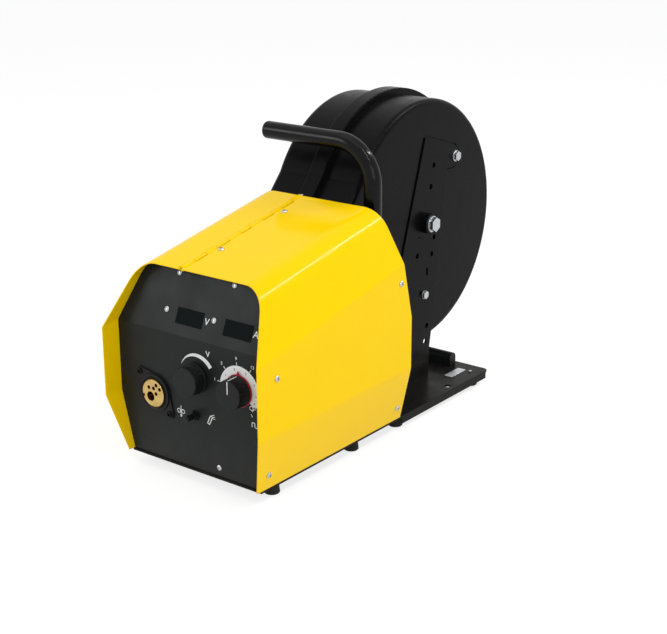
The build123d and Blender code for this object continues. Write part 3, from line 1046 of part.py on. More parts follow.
# how far the low eye's arm starts past the band's edge at that height
ARM_PAST = 0.5204
arm_start = SPOOL_Y + math.sqrt(BAND_R**2 - (EYE_UP + EYE_H)**2) + ARM_PAST
cover_pins = []
for dz in (-EYE_UP, EYE_UP):
    z = SPOOL_Z + dz
    eye_low = Pos(PIN_X, PIN_Y, z - EYE_H) * Cylinder(EYE_R, EYE_H - 0.3, align=(Align.CENTER,
            Align.CENTER, Align.MIN))
    eye_low += block(PIN_X, BAND_LEFT + 1.0, arm_start, PIN_Y - 1.0, z - EYE_H, z - 0.3)
    eye_up = Pos(PIN_X, PIN_Y, z + 0.3) * Cylinder(EYE_R, EYE_H - 0.3, align=(Align.CENTER, Align.CENTER,
            Align.MIN))
    eye_up += block(PIN_X - EYE_R, PIN_X + 1.0, PIN_Y - 19.0, PIN_Y, z + 0.3,
            z + EYE_H) - AXLE * cover_solid(-1.5, SPOOL_LEFT, 0)
    right_shell += eye_low
    left_shell += eye_up
    bore = Pos(PIN_X, PIN_Y, z) * Cylinder(COVER_PIN_R, 40)
    right_shell -= bore
    left_shell -= Pos(PIN_X, PIN_Y, z) * Cylinder(COVER_PIN_R + RUN_FIT, 40)
    cover_pins.append(Pos(PIN_X, PIN_Y, z) * Cylinder(COVER_PIN_R, 2 * EYE_H))
left_shell -= block(CONN_X - 6, BAND_LEFT + 5, SPOOL_FLAT_Y + 20, SPOOL_Y - 60, CONN_Z - 6, CONN_Z + 6)
save("cover_hinge_pins", *cover_pins)
save("spool_cover_right", right_shell)
save("spool_cover_left", left_shell)

# ================================================================ deck fittings
BAR_Y = DECK_END - 20.0
BAR_R = 8.0
bar_face = [(BAR_Y - BAR_R, 0), (BAR_Y + BAR_R, 0), (BAR_Y + BAR_R, 13), (BAR_Y - BAR_R, 13)]
bar = side_plate(bar_face, 12, 60) + rod((12, BAR_Y, 13), (1, 0, 0), BAR_R, 48)
save("strain_relief_bar", bar)
save("deck", deck)
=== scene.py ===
import bpy
import bmesh
import math
from mathutils import Matrix, Vector


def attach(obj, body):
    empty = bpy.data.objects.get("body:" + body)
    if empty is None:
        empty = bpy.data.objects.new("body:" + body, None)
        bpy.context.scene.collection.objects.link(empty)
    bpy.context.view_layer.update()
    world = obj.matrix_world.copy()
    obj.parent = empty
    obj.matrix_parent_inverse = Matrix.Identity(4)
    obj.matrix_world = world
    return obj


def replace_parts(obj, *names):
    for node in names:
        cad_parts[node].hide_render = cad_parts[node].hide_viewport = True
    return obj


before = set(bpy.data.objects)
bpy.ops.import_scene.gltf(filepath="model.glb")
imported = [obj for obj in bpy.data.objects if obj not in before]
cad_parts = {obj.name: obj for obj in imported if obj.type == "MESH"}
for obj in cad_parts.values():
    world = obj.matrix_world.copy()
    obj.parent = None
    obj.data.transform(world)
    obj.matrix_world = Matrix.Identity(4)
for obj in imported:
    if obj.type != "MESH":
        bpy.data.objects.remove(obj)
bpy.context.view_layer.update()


# --- Right cover and left door ------------------------------------------------------------------
# Two folded 1.5 mm steel skins. Polyester powder coat, sprayed and baked: a smooth semi-gloss
# film with a faint orange peel, a little thin and dull along the cut edges.
def linear(code):
    """An sRGB hex code as the linear colour that a shader takes."""
    parts = [int(code[i:i + 2], 16) / 255 for i in (0, 2, 4)]
    return (*[c / 12.92 if c <= 0.04045 else ((c + 0.055) / 1.055) ** 2.4 for c in parts], 1.0)


def add_node(tree, kind, feeds=None, **settings):
    """Adds one node. Each feed is a socket's name or number and a value or another output."""
    node = tree.nodes.new(kind)
    for key, value in settings.items():
        setattr(node, key, value)
    for key, value in (feeds or {}).items():
        if isinstance(value, bpy.types.NodeSocket):
            tree.links.new(value, node.inputs[key])
        else:
            node.inputs[key].default_value = value
    return node


def start_finish(name):
    """An empty material with an output and the piece's own coordinates in metres."""
    made = bpy.data.materials.new(name)
    made.use_nodes = True
    tree = made.node_tree
    tree.nodes.clear()
    place = add_node(tree, "ShaderNodeTexCoord").outputs["Object"]
    out = add_node(tree, "ShaderNodeOutputMaterial")
    return made, tree, place, out


def coated_steel(name, colour, tone, worn, gloss, shine, peel_mm, peel_depth_mm, dust=0.0):
    """Powder coat on sheet steel: tone drifts over hand widths, peel is the film's skin."""
    made, tree, place, out = start_finish(name)
    drift = add_node(tree, "ShaderNodeTexNoise", {"Vector": place, "Scale": 1000 / 140, "Detail": 3.0})
    film = add_node(tree, "ShaderNodeMix", {0: drift.outputs[0], 6: linear(colour), 7: linear(tone)},
                    data_type="RGBA")
    # a film of dust settles low down, in patches about 20 mm wide
    height = add_node(tree, "ShaderNodeSeparateXYZ", {0: place}).outputs[2]
    low = add_node(tree, "ShaderNodeMapRange", {0: height, 1: 0.10, 2: 0.02, 3: 0.0, 4: dust})
    patch = add_node(tree, "ShaderNodeTexNoise", {"Vector": place, "Scale": 1000 / 20, "Detail": 4.0})
    dusty = add_node(tree, "ShaderNodeMath", {0: low.outputs[0], 1: patch.outputs[0]}, operation="MULTIPLY")
    settled = add_node(tree, "ShaderNodeMix", {0: dusty.outputs[0], 6: film.outputs[2], 7: linear("b9b3a2")},
                       data_type="RGBA")
    # the film is thin on cut and folded edges: a 0.5 mm round catches the light there
    rounded = add_node(tree, "ShaderNodeBevel", {"Radius": 0.0005}, samples=4)
    facing = add_node(tree, "ShaderNodeNewGeometry").outputs["Normal"]
    turned = add_node(tree, "ShaderNodeVectorMath", {0: rounded.outputs[0], 1: facing},
                      operation="DOT_PRODUCT")
    edge = add_node(tree, "ShaderNodeMapRange", {0: turned.outputs[1], 1: 0.985, 2: 0.80, 3: 0.0, 4: 0.45})
    broken = add_node(tree, "ShaderNodeMath", {0: edge.outputs[0], 1: patch.outputs[0]}, operation="MULTIPLY")
    coat = add_node(tree, "ShaderNodeMix", {0: broken.outputs[0], 6: settled.outputs[2], 7: linear(worn)},
                    data_type="RGBA")
    rub = add_node(tree, "ShaderNodeTexNoise", {"Vector": place, "Scale": 1000 / 30, "Detail": 5.0})
    rough = add_node(tree, "ShaderNodeMapRange", {0: rub.outputs[0], 1: 0.3, 2: 0.7,
                                                  3: gloss - 0.05, 4: gloss + 0.07})
    peel = add_node(tree, "ShaderNodeTexNoise", {"Vector": place, "Scale": 1000 / peel_mm, "Detail": 2.0})
    skin = add_node(tree, "ShaderNodeBump", {"Strength": 0.6, "Distance": peel_depth_mm / 1000,
                                             "Height": peel.outputs[0], "Normal": rounded.outputs[0]})
    shader = add_node(tree, "ShaderNodeBsdfPrincipled", {"Base Color": coat.outputs[2],
                      "Roughness": rough.outputs[0], "Normal": skin.outputs[0], "IOR": 1.5,
                      "Specular IOR Level": shine})
    tree.links.new(shader.outputs[0], out.inputs[0])
    return made


def dress(finish, *names):
    """Gives CAD nodes one finish on all their slots."""
    for name in names:
        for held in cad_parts[name].material_slots:
            held.material = finish


signal_yellow = coated_steel("signal_yellow_powder_coat", "fdd300", "fbcf00", "efca40", 0.15, 0.07,
                             3.0, 0.002, dust=0.04)
dress(signal_yellow, "right_cover", "left_door")


# --- Hinge rod, quarter-turn latches and screws -------------------------------------------------
# Zinc-plated steel, barrel plated and passivated: bright grey with a cold cast, soft cloudy
# patches about 9 mm wide and fine tumbling marks.
def plated_metal(name, colour, cloud, rough, spread, grain_mm, stretch=(1.0, 1.0, 1.0)):
    """A bare or plated metal. stretch is less than 1 along the way that the tool ran."""
    made, tree, place, out = start_finish(name)
    patch = add_node(tree, "ShaderNodeTexNoise", {"Vector": place, "Scale": 1000 / 9, "Detail": 3.0})
    tint = add_node(tree, "ShaderNodeMix", {0: patch.outputs[0], 6: linear(colour), 7: linear(cloud)},
                    data_type="RGBA")
    ran = add_node(tree, "ShaderNodeMapping", {"Vector": place, "Scale": stretch})
    marks = add_node(tree, "ShaderNodeTexNoise", {"Vector": ran.outputs[0], "Scale": 1000 / grain_mm,
                                                  "Detail": 4.0})
    dull = add_node(tree, "ShaderNodeMapRange", {0: marks.outputs[0], 1: 0.25, 2: 0.75,
                                                 3: rough - spread, 4: rough + spread})
    rounded = add_node(tree, "ShaderNodeBevel", {"Radius": 0.00025}, samples=4)
    scratch = add_node(tree, "ShaderNodeBump", {"Strength": 0.35, "Distance": 0.00003,
                                                "Height": marks.outputs[0], "Normal": rounded.outputs[0]})
    shader = add_node(tree, "ShaderNodeBsdfPrincipled", {"Base Color": tint.outputs[2], "Metallic": 1.0,
                      "Roughness": dull.outputs[0], "Normal": scratch.outputs[0]})
    tree.links.new(shader.outputs[0], out.inputs[0])
    return made


zinc_plate = plated_metal("zinc_plated_steel", "c9ccce", "a9adb0", 0.34, 0.10, 1.2)
dress(zinc_plate, "hinge_rod", "door_latch_front", "door_latch_rear", "cover_screws", "frame_screws",
      "bracket_bolts", "axle_bolt", "chassis_wall", "control_socket")

# the panel's screws are zinc plated too, but the two by the torch socket, low on the left, are
# blackened: heat and oil turn the steel a dull near-black
panel_steel = plated_metal("zinc_and_blackened_steel", "c9ccce", "a9adb0", 0.34, 0.10, 1.2)
tree = panel_steel.node_tree
shader = next(node for node in tree.nodes if node.type == "BSDF_PRINCIPLED")
bright = shader.inputs["Base Color"].links[0].from_socket
spot = add_node(tree, "ShaderNodeSeparateXYZ", {0: add_node(tree, "ShaderNodeTexCoord").outputs["Object"]})
SOCKET_RIGHT, SOCKET_TOP = -0.035, 0.160
left = add_node(tree, "ShaderNodeMath", {0: spot.outputs[0], 1: SOCKET_RIGHT}, operation="LESS_THAN")
low = add_node(tree, "ShaderNodeMath", {0: spot.outputs[2], 1: SOCKET_TOP}, operation="LESS_THAN")
by_socket = add_node(tree, "ShaderNodeMath", {0: left.outputs[0], 1: low.outputs[0]}, operation="MULTIPLY")
blackened = add_node(tree, "ShaderNodeMix", {0: by_socket.outputs[0], 6: bright, 7: linear("1c1b1a")},
                     data_type="RGBA")
tree.links.new(blackened.outputs[2], shader.inputs["Base Color"])
dress(panel_steel, "panel_screws")


# --- Front panel and rear wall ------------------------------------------------------------------
# Folded steel behind the yellow wings. Anthracite fine-texture powder coat: near matt, with a
# close sandy grain of about 0.6 mm, drawn at 1.4 mm so that it shows.
anthracite = coated_steel("anthracite_texture_coat", "1f2222", "1b1e1e", "3c3f41", 0.40, 0.13,
                          1.4, 0.03, dust=0.03)
dress(anthracite, "front_panel")

# the rear wall, deck, spool bracket and handle clamps have a smoother satin coat
satin_black = coated_steel("satin_black_powder_coat", "0b0b0c", "0f0f10", "3a3b3c", 0.28, 0.05,
                           1.8, 0.008, dust=0.03)
dress(satin_black, "rear_wall", "deck", "spool_bracket", "handle_clamps")


# --- Printing on the front panel ----------------------------------------------------------------
# White two-part screen ink, laid flat on the coat and baked: a voltage arc, the letters V and A,
# a feed speed scale and the generic signs for inching, gas purge and trigger mode.
def flat_ink(name, colour, rough):
    """A printed film of one colour and one gloss."""
    made, tree, place, out = start_finish(name)
    # the screen's weave leaves the film a touch thin every 0.8 mm or so
    mesh = add_node(tree, "ShaderNodeTexNoise", {"Vector": place, "Scale": 1000 / 0.8, "Detail": 2.0})
    thin = add_node(tree, "ShaderNodeMapRange", {0: mesh.outputs[0], 1: 0.35, 2: 0.75, 3: 0.0, 4: 0.18})
    film = add_node(tree, "ShaderNodeMix", {0: thin.outputs[0], 6: linear(colour), 7: linear("6d7072")},
                    data_type="RGBA")
    skin = add_node(tree, "ShaderNodeBump", {"Strength": 0.3, "Distance": 0.00002, "Height": mesh.outputs[0]})
    shader = add_node(tree, "ShaderNodeBsdfPrincipled", {"Base Color": film.outputs[2], "Roughness": rough,
                      "Normal": skin.outputs[0]})
    tree.links.new(shader.outputs[0], out.inputs[0])
    return made


white_ink = flat_ink("white_screen_ink", "eceded", 0.45)
black_ink = flat_ink("black_screen_ink", "191a1b", 0.45)

# the panel's face is upright up to its fold, and leans back above it; marks are drawn flat, X to the
# right and Y up, then laid on one of the two planes
PANEL_Y = -0.3093
FOLD_Z = 0.1972
LEAN = math.radians(22)
INK_T = 0.00008
upright = Matrix(((1, 0, 0, 0), (0, 0, -1, PANEL_Y), (0, 1, 0, 0), (0, 0, 0, 1)))
leaning = Matrix(((1, 0, 0, 0), (0, math.sin(LEAN), -math.cos(LEAN), PANEL_Y),
                  (0, math.cos(LEAN), math.sin(LEAN), FOLD_Z), (0, 0, 0, 1)))


def clear_selection():
    """Back to object mode with nothing selected."""
    if bpy.context.object and bpy.context.object.mode != "OBJECT":
        bpy.ops.object.mode_set(mode="OBJECT")
    bpy.ops.object.select_all(action="DESELECT")


def finish_piece(piece, name, finish, body, place=None):
    """Names a modelled piece, sets its mesh in place, and gives it its finish and its body."""
    clear_selection()
    piece.name = name
    piece.data.name = name
    if place is not None:
        piece.data.transform(place)
    piece.data.materials.clear()
    piece.data.materials.append(finish)
    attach(piece, body)
    return piece


def print_on(piece, name, x, up, finish=None, carrier=None, lift=0.0):
    """Lays a flat drawing, centred on its own origin, on the panel at x and up, in metres."""
    face = upright if carrier is None else carrier
    spot = face @ Matrix.Translation((x, up, lift))
    return finish_piece(piece, name, finish or white_ink, "frame", spot)


def thicken_flat():
    """Gives the active flat drawing a film's thickness, standing on its own plane."""
    drawing = bpy.context.object
    film = drawing.modifiers.new("film", "SOLIDIFY")
    film.thickness = INK_T
    film.offset = 1.0
    bpy.ops.object.modifier_apply(modifier="film")
    return drawing


def letter(word, size):
    """A word in the built-in sans face, as a mesh, centred on the origin."""
    clear_selection()
    bpy.ops.object.text_add(location=(0, 0, 0))
    text = bpy.context.object
    text.data.body = word
    text.data.size = size
    text.data.align_x = "CENTER"
    text.data.align_y = "CENTER"
    text.data.extrude = INK_T / 2
    text.data.resolution_u = 4
    bpy.ops.object.convert(target="MESH")
    made = bpy.context.object
    made.data.transform(Matrix.Translation((0, 0, INK_T / 2)))
    return made


def arc_band(inner, outer, start, end, steps=48):
    """A flat ring sector, spun from one radial edge. Angles are in degrees from +X."""
    clear_selection()
    bpy.ops.mesh.primitive_plane_add(size=1.0)
    band = bpy.context.object
    bpy.ops.object.mode_set(mode="EDIT")
    shape = bmesh.from_edit_mesh(band.data)
    extra = [v for v in shape.verts if v.co.y > 0]
    bmesh.ops.delete(shape, geom=extra, context="VERTS")
    for v in shape.verts:
        reach = inner if v.co.x < 0 else outer
        v.co = Vector((reach * math.cos(math.radians(start)), reach * math.sin(math.radians(start)), 0))
    bmesh.update_edit_mesh(band.data)
    bpy.ops.mesh.select_all(action="SELECT")
    bpy.ops.mesh.spin(steps=steps, angle=math.radians(start - end), center=(0, 0, 0), axis=(0, 0, 1))
    bpy.ops.mesh.select_all(action="SELECT")
    bpy.ops.mesh.normals_make_consistent(inside=False)
    bpy.ops.object.mode_set(mode="OBJECT")
    if band.data.polygons[0].normal.z < 0:
        band.data.flip_normals()
    return thicken_flat()


def bar(x0, y0, x1, y1, width):
    """A straight printed stroke between two points of the drawing."""
    clear_selection()
    bpy.ops.mesh.primitive_plane_add(size=1.0)
    stroke = bpy.context.object
    run = Vector((x1 - x0, y1 - y0))
    turn = Matrix.Rotation(math.atan2(run.y, run.x), 4, "Z")
    size = Matrix.Diagonal((run.length, width, 1, 1))
    stroke.data.transform(Matrix.Translation(((x0 + x1) / 2, (y0 + y1) / 2, 0)) @ turn @ size)
    return thicken_flat()


def joined(*drawings):
    """One drawing from several."""
    clear_selection()
    for drawing in drawings:
        drawing.select_set(True)
    bpy.context.view_layer.objects.active = drawings[0]
    bpy.ops.object.join()
    return bpy.context.object


# the voltage arc swells clockwise: two circles off centre, trimmed by two planes
VOLT_X, SPEED_X, KNOB_Z = 0.0058, 0.0785, 0.147
ARC_IN, ARC_OUT, ARC_SHIFT = 0.0283, 0.0304, 0.0039
clear_selection()
bpy.ops.mesh.primitive_circle_add(vertices=128, radius=ARC_IN)
volt_arc = bpy.context.object
bpy.ops.object.mode_set(mode="EDIT")
bpy.ops.mesh.select_all(action="SELECT")
bpy.ops.mesh.extrude_edges_move()
bpy.ops.transform.resize(value=(ARC_OUT / ARC_IN,) * 3)
ARC_END, ARC_START = 36, 152
wide_end = math.radians(ARC_END)
bpy.ops.transform.translate(value=(ARC_SHIFT * math.cos(wide_end), ARC_SHIFT * math.sin(wide_end), 0))
for angle, side in ((ARC_END, -90), (ARC_START, 90)):
    away = math.radians(angle + side)
    bpy.ops.mesh.select_all(action="SELECT")
    bpy.ops.mesh.bisect(plane_co=(0, 0, 0), plane_no=(math.cos(away), math.sin(away), 0), clear_outer=True)
bpy.ops.mesh.select_all(action="SELECT")
bpy.ops.mesh.normals_make_consistent(inside=False)
bpy.ops.object.mode_set(mode="OBJECT")
if max(volt_arc.data.polygons, key=lambda face: face.area).normal.z < 0:
    volt_arc.data.flip_normals()
print_on(thicken_flat(), "voltage_arc", VOLT_X, KNOB_Z)
print_on(letter("V", 0.0115), "voltage_letter", 0.0271, 0.1827)

# the feed speed scale: a white band with dark figures, white ticks and figures outside it
SCALE_START, SCALE_STEP = 172, 38
BAND_IN, BAND_OUT, FIGURES_R, BAND_FIGURES_R = 0.0204, 0.0320, 0.0410, 0.0270
TICK_IN, TICK_OUT, TICK_W = 0.0325, 0.0365, 0.0009
print_on(arc_band(BAND_IN, BAND_OUT, -38, SCALE_START), "speed_band", SPEED_X, KNOB_Z)
ticks = []
for angle in range(SCALE_START, -60, -SCALE_STEP):
    c, s = math.cos(math.radians(angle)), math.sin(math.radians(angle))
    ticks.append(bar(TICK_IN * c, TICK_IN * s, TICK_OUT * c, TICK_OUT * s, TICK_W))
print_on(joined(*ticks), "speed_ticks", SPEED_X, KNOB_Z)
for index, angle in enumerate(range(SCALE_START, -20, -SCALE_STEP)):
    c, s = math.cos(math.radians(angle)), math.sin(math.radians(angle))
    print_on(letter(str(1 + 4 * index), 0.0062), f"speed_figure_{index}", SPEED_X + FIGURES_R * c,
             KNOB_Z + FIGURES_R * s)
for index, angle in enumerate((146, 106, 66, 27, -5, -27)):
    c, s = math.cos(math.radians(angle)), math.sin(math.radians(angle))
    print_on(letter(str(index + 1), 0.0050), f"band_figure_{index}", SPEED_X + BAND_FIGURES_R * c,
             KNOB_Z + BAND_FIGURES_R * s, black_ink, lift=INK_T)

# the sign at the end of the scale: a wire reel feeding along an arrow
reel = joined(arc_band(0.0022, 0.0032, 0, 360, 24), bar(0.001, -0.0045, 0.0065, 0.002, 0.0009),
              bar(0.0065, 0.002, 0.0034, 0.0014, 0.0009), bar(0.0065, 0.002, 0.0060, -0.0014, 0.0009))
print_on(reel, "feed_sign", SPEED_X + 0.0190, KNOB_Z - 0.0190)

# inching: two feed rolls with an arrow down between them
inch = joined(arc_band(0.0022, 0.0031, 0, 360, 24), bar(0.0036, 0.0075, 0.0036, -0.0072, 0.0009),
              bar(0.0036, -0.0082, 0.0020, -0.0050, 0.0010), bar(0.0036, -0.0082, 0.0052, -0.0050, 0.0010))
inch.data.transform(Matrix.Translation((-0.0036, 0, 0)))
second_roll = arc_band(0.0022, 0.0031, 0, 360, 24)
second_roll.data.transform(Matrix.Translation((0.0036, 0, 0)))
print_on(joined(inch, second_roll), "inching_sign", -0.0227, 0.0946)

# gas purge: a nozzle with gas leaving it
purge = joined(bar(-0.0050, -0.0060, 0.0004, 0.0050, 0.0012), bar(-0.0018, -0.0076, 0.0036, 0.0034, 0.0012),
               bar(-0.0050, -0.0060, -0.0018, -0.0076, 0.0010), bar(0.0004, 0.0050, 0.0036, 0.0034, 0.0010),
               bar(0.0024, 0.0056, 0.0066, 0.0072, 0.0008), bar(0.0036, 0.0040, 0.0078, 0.0046, 0.0008),
               bar(0.0042, 0.0020, 0.0080, 0.0018, 0.0008))
print_on(purge, "purge_sign", 0.0281, 0.0957)

# trigger mode: a hand switch shown as two strokes and a foot, 2 and 4 steps
trigger = joined(bar(-0.0045, -0.0030, -0.0045, 0.0030, 0.0010), bar(-0.0045, 0.0030, 0.0, 0.0030, 0.0010),
                 bar(0.0, 0.0030, 0.0, -0.0030, 0.0010), bar(0.0, -0.0030, 0.0045, -0.0030, 0.0010),
                 bar(0.0045, -0.0030, 0.0045, 0.0030, 0.0010))
print_on(trigger, "trigger_sign", 0.1024, 0.1064)
print_on(letter("V", 0.0125), "volt_sign", 0.0185, 0.0256, carrier=leaning)
print_on(letter("A", 0.0125), "ampere_sign", 0.0992, 0.0256, carrier=leaning)


# --- Knobs, pointer ring and toggle switches ----------------------------------------------------
# Injection moulded in black nylon with a fine spark-eroded grain, gone slightly glossy where
# fingers hold them. The pointer ring is red ABS and clips round the knob.
def moulded_plastic(name, colour, tone, rough, spread, shine, grain_mm, depth_mm, edge_mm=0.4):
    """A moulded polymer: even colour, a fine eroded grain and rubbed, greasy patches."""
    made, tree, place, out = start_finish(name)
    drift = add_node(tree, "ShaderNodeTexNoise", {"Vector": place, "Scale": 1000 / 45, "Detail": 3.0})
    body = add_node(tree, "ShaderNodeMix", {0: drift.outputs[0], 6: linear(colour), 7: linear(tone)},
                    data_type="RGBA")
    handled = add_node(tree, "ShaderNodeTexNoise", {"Vector": place, "Scale": 1000 / 14, "Detail": 5.0})
    dull = add_node(tree, "ShaderNodeMapRange", {0: handled.outputs[0], 1: 0.3, 2: 0.7,
                                                 3: rough - spread, 4: rough + spread})
    grain = add_node(tree, "ShaderNodeTexNoise", {"Vector": place, "Scale": 1000 / grain_mm, "Detail": 3.0})
    rounded = add_node(tree, "ShaderNodeBevel", {"Radius": edge_mm / 1000}, samples=4)
    skin = add_node(tree, "ShaderNodeBump", {"Strength": 0.5, "Distance": depth_mm / 1000,
                                             "Height": grain.outputs[0], "Normal": rounded.outputs[0]})
    shader = add_node(tree, "ShaderNodeBsdfPrincipled", {"Base Color": body.outputs[2],
                      "Roughness": dull.outputs[0], "Normal": skin.outputs[0], "IOR": 1.52,
                      "Specular IOR Level": shine})
    tree.links.new(shader.outputs[0], out.inputs[0])
    return made


black_nylon = moulded_plastic("black_nylon", "101111", "181919", 0.34, 0.08, 0.16, 0.9, 0.02)
dress(black_nylon, "toggle_switches", "inch_purge_lever", "trigger_mode_lever")
red_abs = moulded_plastic("red_abs", "b3202c", "9e1a26", 0.34, 0.08, 0.3, 0.8, 0.02)
dress(red_abs, "hub_catch")

# radius and height above the knob's back, from the relief that the pointer ring sits in to the face
KNOB_RINGS = ((0.0172, 0.0), (0.0172, 0.0018), (0.0204, 0.0018), (0.0204, 0.0030), (0.0199, 0.0036),
              (0.0192, 0.0202), (0.0184, 0.0214))
KNOB_SIDES, KNOB_L, STANDOFF, SPINDLE_R, SPINDLE_IN = 144, 0.0214, 0.0012, 0.0030, 0.0087
FLUTES, FLUTE_R, FLUTE_AT, FLUTE_L, FLUTE_MIDDLE = 12, 0.0011, 0.0201, 0.0125, 0.0115
knob_seat = upright @ Matrix.Translation((0, KNOB_Z, STANDOFF))


def modelled_knob(name, node, x):
    """A skirted knob with twelve flutes, raised ring by ring from its back, on its spindle."""
    clear_selection()
    bpy.ops.mesh.primitive_circle_add(vertices=KNOB_SIDES, radius=KNOB_RINGS[0][0], fill_type="NGON")
    grip = bpy.context.object
    bpy.ops.object.mode_set(mode="EDIT")
    bpy.ops.mesh.select_all(action="SELECT")
    for (low_r, low), (high_r, high) in zip(KNOB_RINGS, KNOB_RINGS[1:]):
        bpy.ops.mesh.extrude_region_move(TRANSFORM_OT_translate={"value": (0, 0, high - low)})
        bpy.ops.transform.resize(value=(high_r / low_r, high_r / low_r, 1), center_override=(0, 0, 0))
    bpy.ops.mesh.select_all(action="SELECT")
    bpy.ops.mesh.normals_make_consistent(inside=False)
    bpy.ops.object.mode_set(mode="OBJECT")
    flutes = []
    for step in range(FLUTES):
        turned = math.radians(360 / FLUTES * (step + 0.5))
        spot = (FLUTE_AT * math.cos(turned), FLUTE_AT * math.sin(turned), FLUTE_MIDDLE)
        bpy.ops.mesh.primitive_cylinder_add(vertices=20, radius=FLUTE_R, depth=FLUTE_L, location=spot)
        flutes.append(bpy.context.object)
    cutter = joined(*flutes)
    cut = grip.modifiers.new("flutes", "BOOLEAN")
    cut.operation = "DIFFERENCE"
    cut.object = cutter
    clear_selection()
    bpy.context.view_layer.objects.active = grip
    grip.select_set(True)
    bpy.ops.object.modifier_apply(modifier="flutes")
    bpy.data.objects.remove(cutter)
    bpy.ops.object.shade_smooth_by_angle(angle=math.radians(30))
    bpy.ops.mesh.primitive_cylinder_add(vertices=40, radius=SPINDLE_R, depth=SPINDLE_IN,
                                        location=(0, 0, -SPINDLE_IN / 2))
    piece = finish_piece(joined(grip, bpy.context.object), name, black_nylon, node,
                         Matrix.Translation((x, 0, 0)) @ knob_seat)
    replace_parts(piece, node)


modelled_knob("fluted_voltage_knob", "voltage_knob", VOLT_X)
modelled_knob("fluted_speed_knob", "speed_knob", SPEED_X)

# the ring round the speed knob's relief, with its pointer reaching over the white band
RING_IN, RING_OUT, RING_T = 0.0176, 0.0214, 0.0016
POINTER_R, POINTER_SPOT = 0.0030, (0, 0.0231, 0)
ring = arc_band(RING_IN, RING_OUT, 0, 360, 96)
clear_selection()
bpy.ops.mesh.primitive_circle_add(vertices=3, radius=POINTER_R, fill_type="NGON", location=POINTER_SPOT)
bpy.ops.object.mode_set(mode="EDIT")
bpy.ops.mesh.select_all(action="SELECT")
bpy.ops.transform.resize(value=(0.75, 1.0, 1.0), center_override=POINTER_SPOT)
bpy.ops.object.mode_set(mode="OBJECT")
pointer = joined(ring, thicken_flat())
pointer.data.transform(Matrix.Diagonal((1, 1, RING_T / INK_T, 1)))
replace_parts(finish_piece(pointer, "red_speed_pointer", red_abs, "speed_knob",
                         Matrix.Translation((SPEED_X, 0, 0)) @ knob_seat), "speed_pointer_ring")

# a white line is printed on the speed knob, from the middle of its face up to the rim, and back
# along the grip to the red pointer
LINE_W, LINE_START, FACE_R = 0.0013, 0.0016, 0.0184
GRIP_R, GRIP_TOP, GRIP_LINE_L, GRIP_TAPER = 0.0192, 0.0202, 0.0166, 0.0007
face_line = bar(0, LINE_START, 0, FACE_R, LINE_W)
face_line.data.transform(upright @ Matrix.Translation((SPEED_X, KNOB_Z, STANDOFF + KNOB_L)))
grip_line = bar(0, 0, 0, GRIP_LINE_L, LINE_W)
taper = math.atan2(GRIP_TAPER, GRIP_LINE_L)
grip_spot = Matrix.Translation((SPEED_X, PANEL_Y - STANDOFF - GRIP_TOP, KNOB_Z + GRIP_R))
grip_line.data.transform(grip_spot @ Matrix.Rotation(taper, 4, "X"))
finish_piece(joined(face_line, grip_line), "speed_pointer_line", white_ink, "speed_knob")


# --- Torch socket -------------------------------------------------------------------------------
# A turned brass body behind a black moulded flange. Brass CuZn39 turned on a lathe: warm yellow,
# dulled by handling, with fine tool marks about 0.8 mm wide.
turned_brass = plated_metal("turned_brass", "dcc07c", "a98a50", 0.24, 0.08, 0.8)
dress(turned_brass, "gun_connector_socket", "gas_inlet", "gas_valve", "wire_guides")
black_polyamide = moulded_plastic("black_glass_filled_polyamide", "111212", "181919", 0.42, 0.08,
                                  0.14, 1.1, 0.03)
dress(black_polyamide, "gun_connector_flange", "power_socket", "wire_inlet", "handle_plug", "tension_knob",
      "strain_relief_bar", "spool_hub")


# --- Display windows ----------------------------------------------------------------------------
# Cast acrylic, tinted dark smoke and polished on its face. Unlit figures don't show through it, so
# it is drawn opaque.
smoked_acrylic, tree, place, out = start_finish("smoked_acrylic")
smear = add_node(tree, "ShaderNodeTexNoise", {"Vector": place, "Scale": 1000 / 8, "Detail": 4.0})
dull = add_node(tree, "ShaderNodeMapRange", {0: smear.outputs[0], 1: 0.3, 2: 0.8, 3: 0.10, 4: 0.22})
smoke = add_node(tree, "ShaderNodeMix", {0: smear.outputs[0], 6: linear("060b0b"), 7: linear("0a1211")},
                 data_type="RGBA")
shader = add_node(tree, "ShaderNodeBsdfPrincipled", {"Base Color": smoke.outputs[2],
                  "Roughness": dull.outputs[0], "IOR": 1.49, "Specular IOR Level": 0.012})
tree.links.new(shader.outputs[0], out.inputs[0])
dress(smoked_acrylic, "display_windows")


# --- Feed mechanism -----------------------------------------------------------------------------
# Hardened and ground steel rolls with their gears, pins and post; a die-cast aluminium plate and
# gearbox; grey nylon pressure arms; an enamelled motor; a green laminate control board.
ground_steel = plated_metal("ground_steel", "b9bcbe", "96999b", 0.30, 0.10, 0.7, (0.25, 1.0, 1.0))
dress(ground_steel, "drive_pinion", "lower_front_roll", "lower_rear_roll", "upper_front_roll",
      "upper_rear_roll", "lower_axles", "tension_post", "tension_spring", "pivot_pins", "potentiometers",
      "hub_axle", "cover_hinge_pins")
cast_aluminium = plated_metal("die_cast_aluminium", "b4b6b8", "9a9c9e", 0.48, 0.08, 1.6)
dress(cast_aluminium, "drive_plate", "gearbox")
grey_nylon = moulded_plastic("grey_nylon", "8e9193", "7f8284", 0.48, 0.08, 0.4, 1.0, 0.03)
dress(grey_nylon, "pressure_arm_front", "pressure_arm_rear")
motor_enamel = coated_steel("motor_enamel", "1f2224", "282b2d", "5a5c5d", 0.38, 0.25, 2.0, 0.02)
dress(motor_enamel, "feed_motor")
green_laminate = moulded_plastic("green_laminate", "1d5a37", "174a2d", 0.35, 0.08, 0.5, 0.8, 0.01)
dress(green_laminate, "control_board")


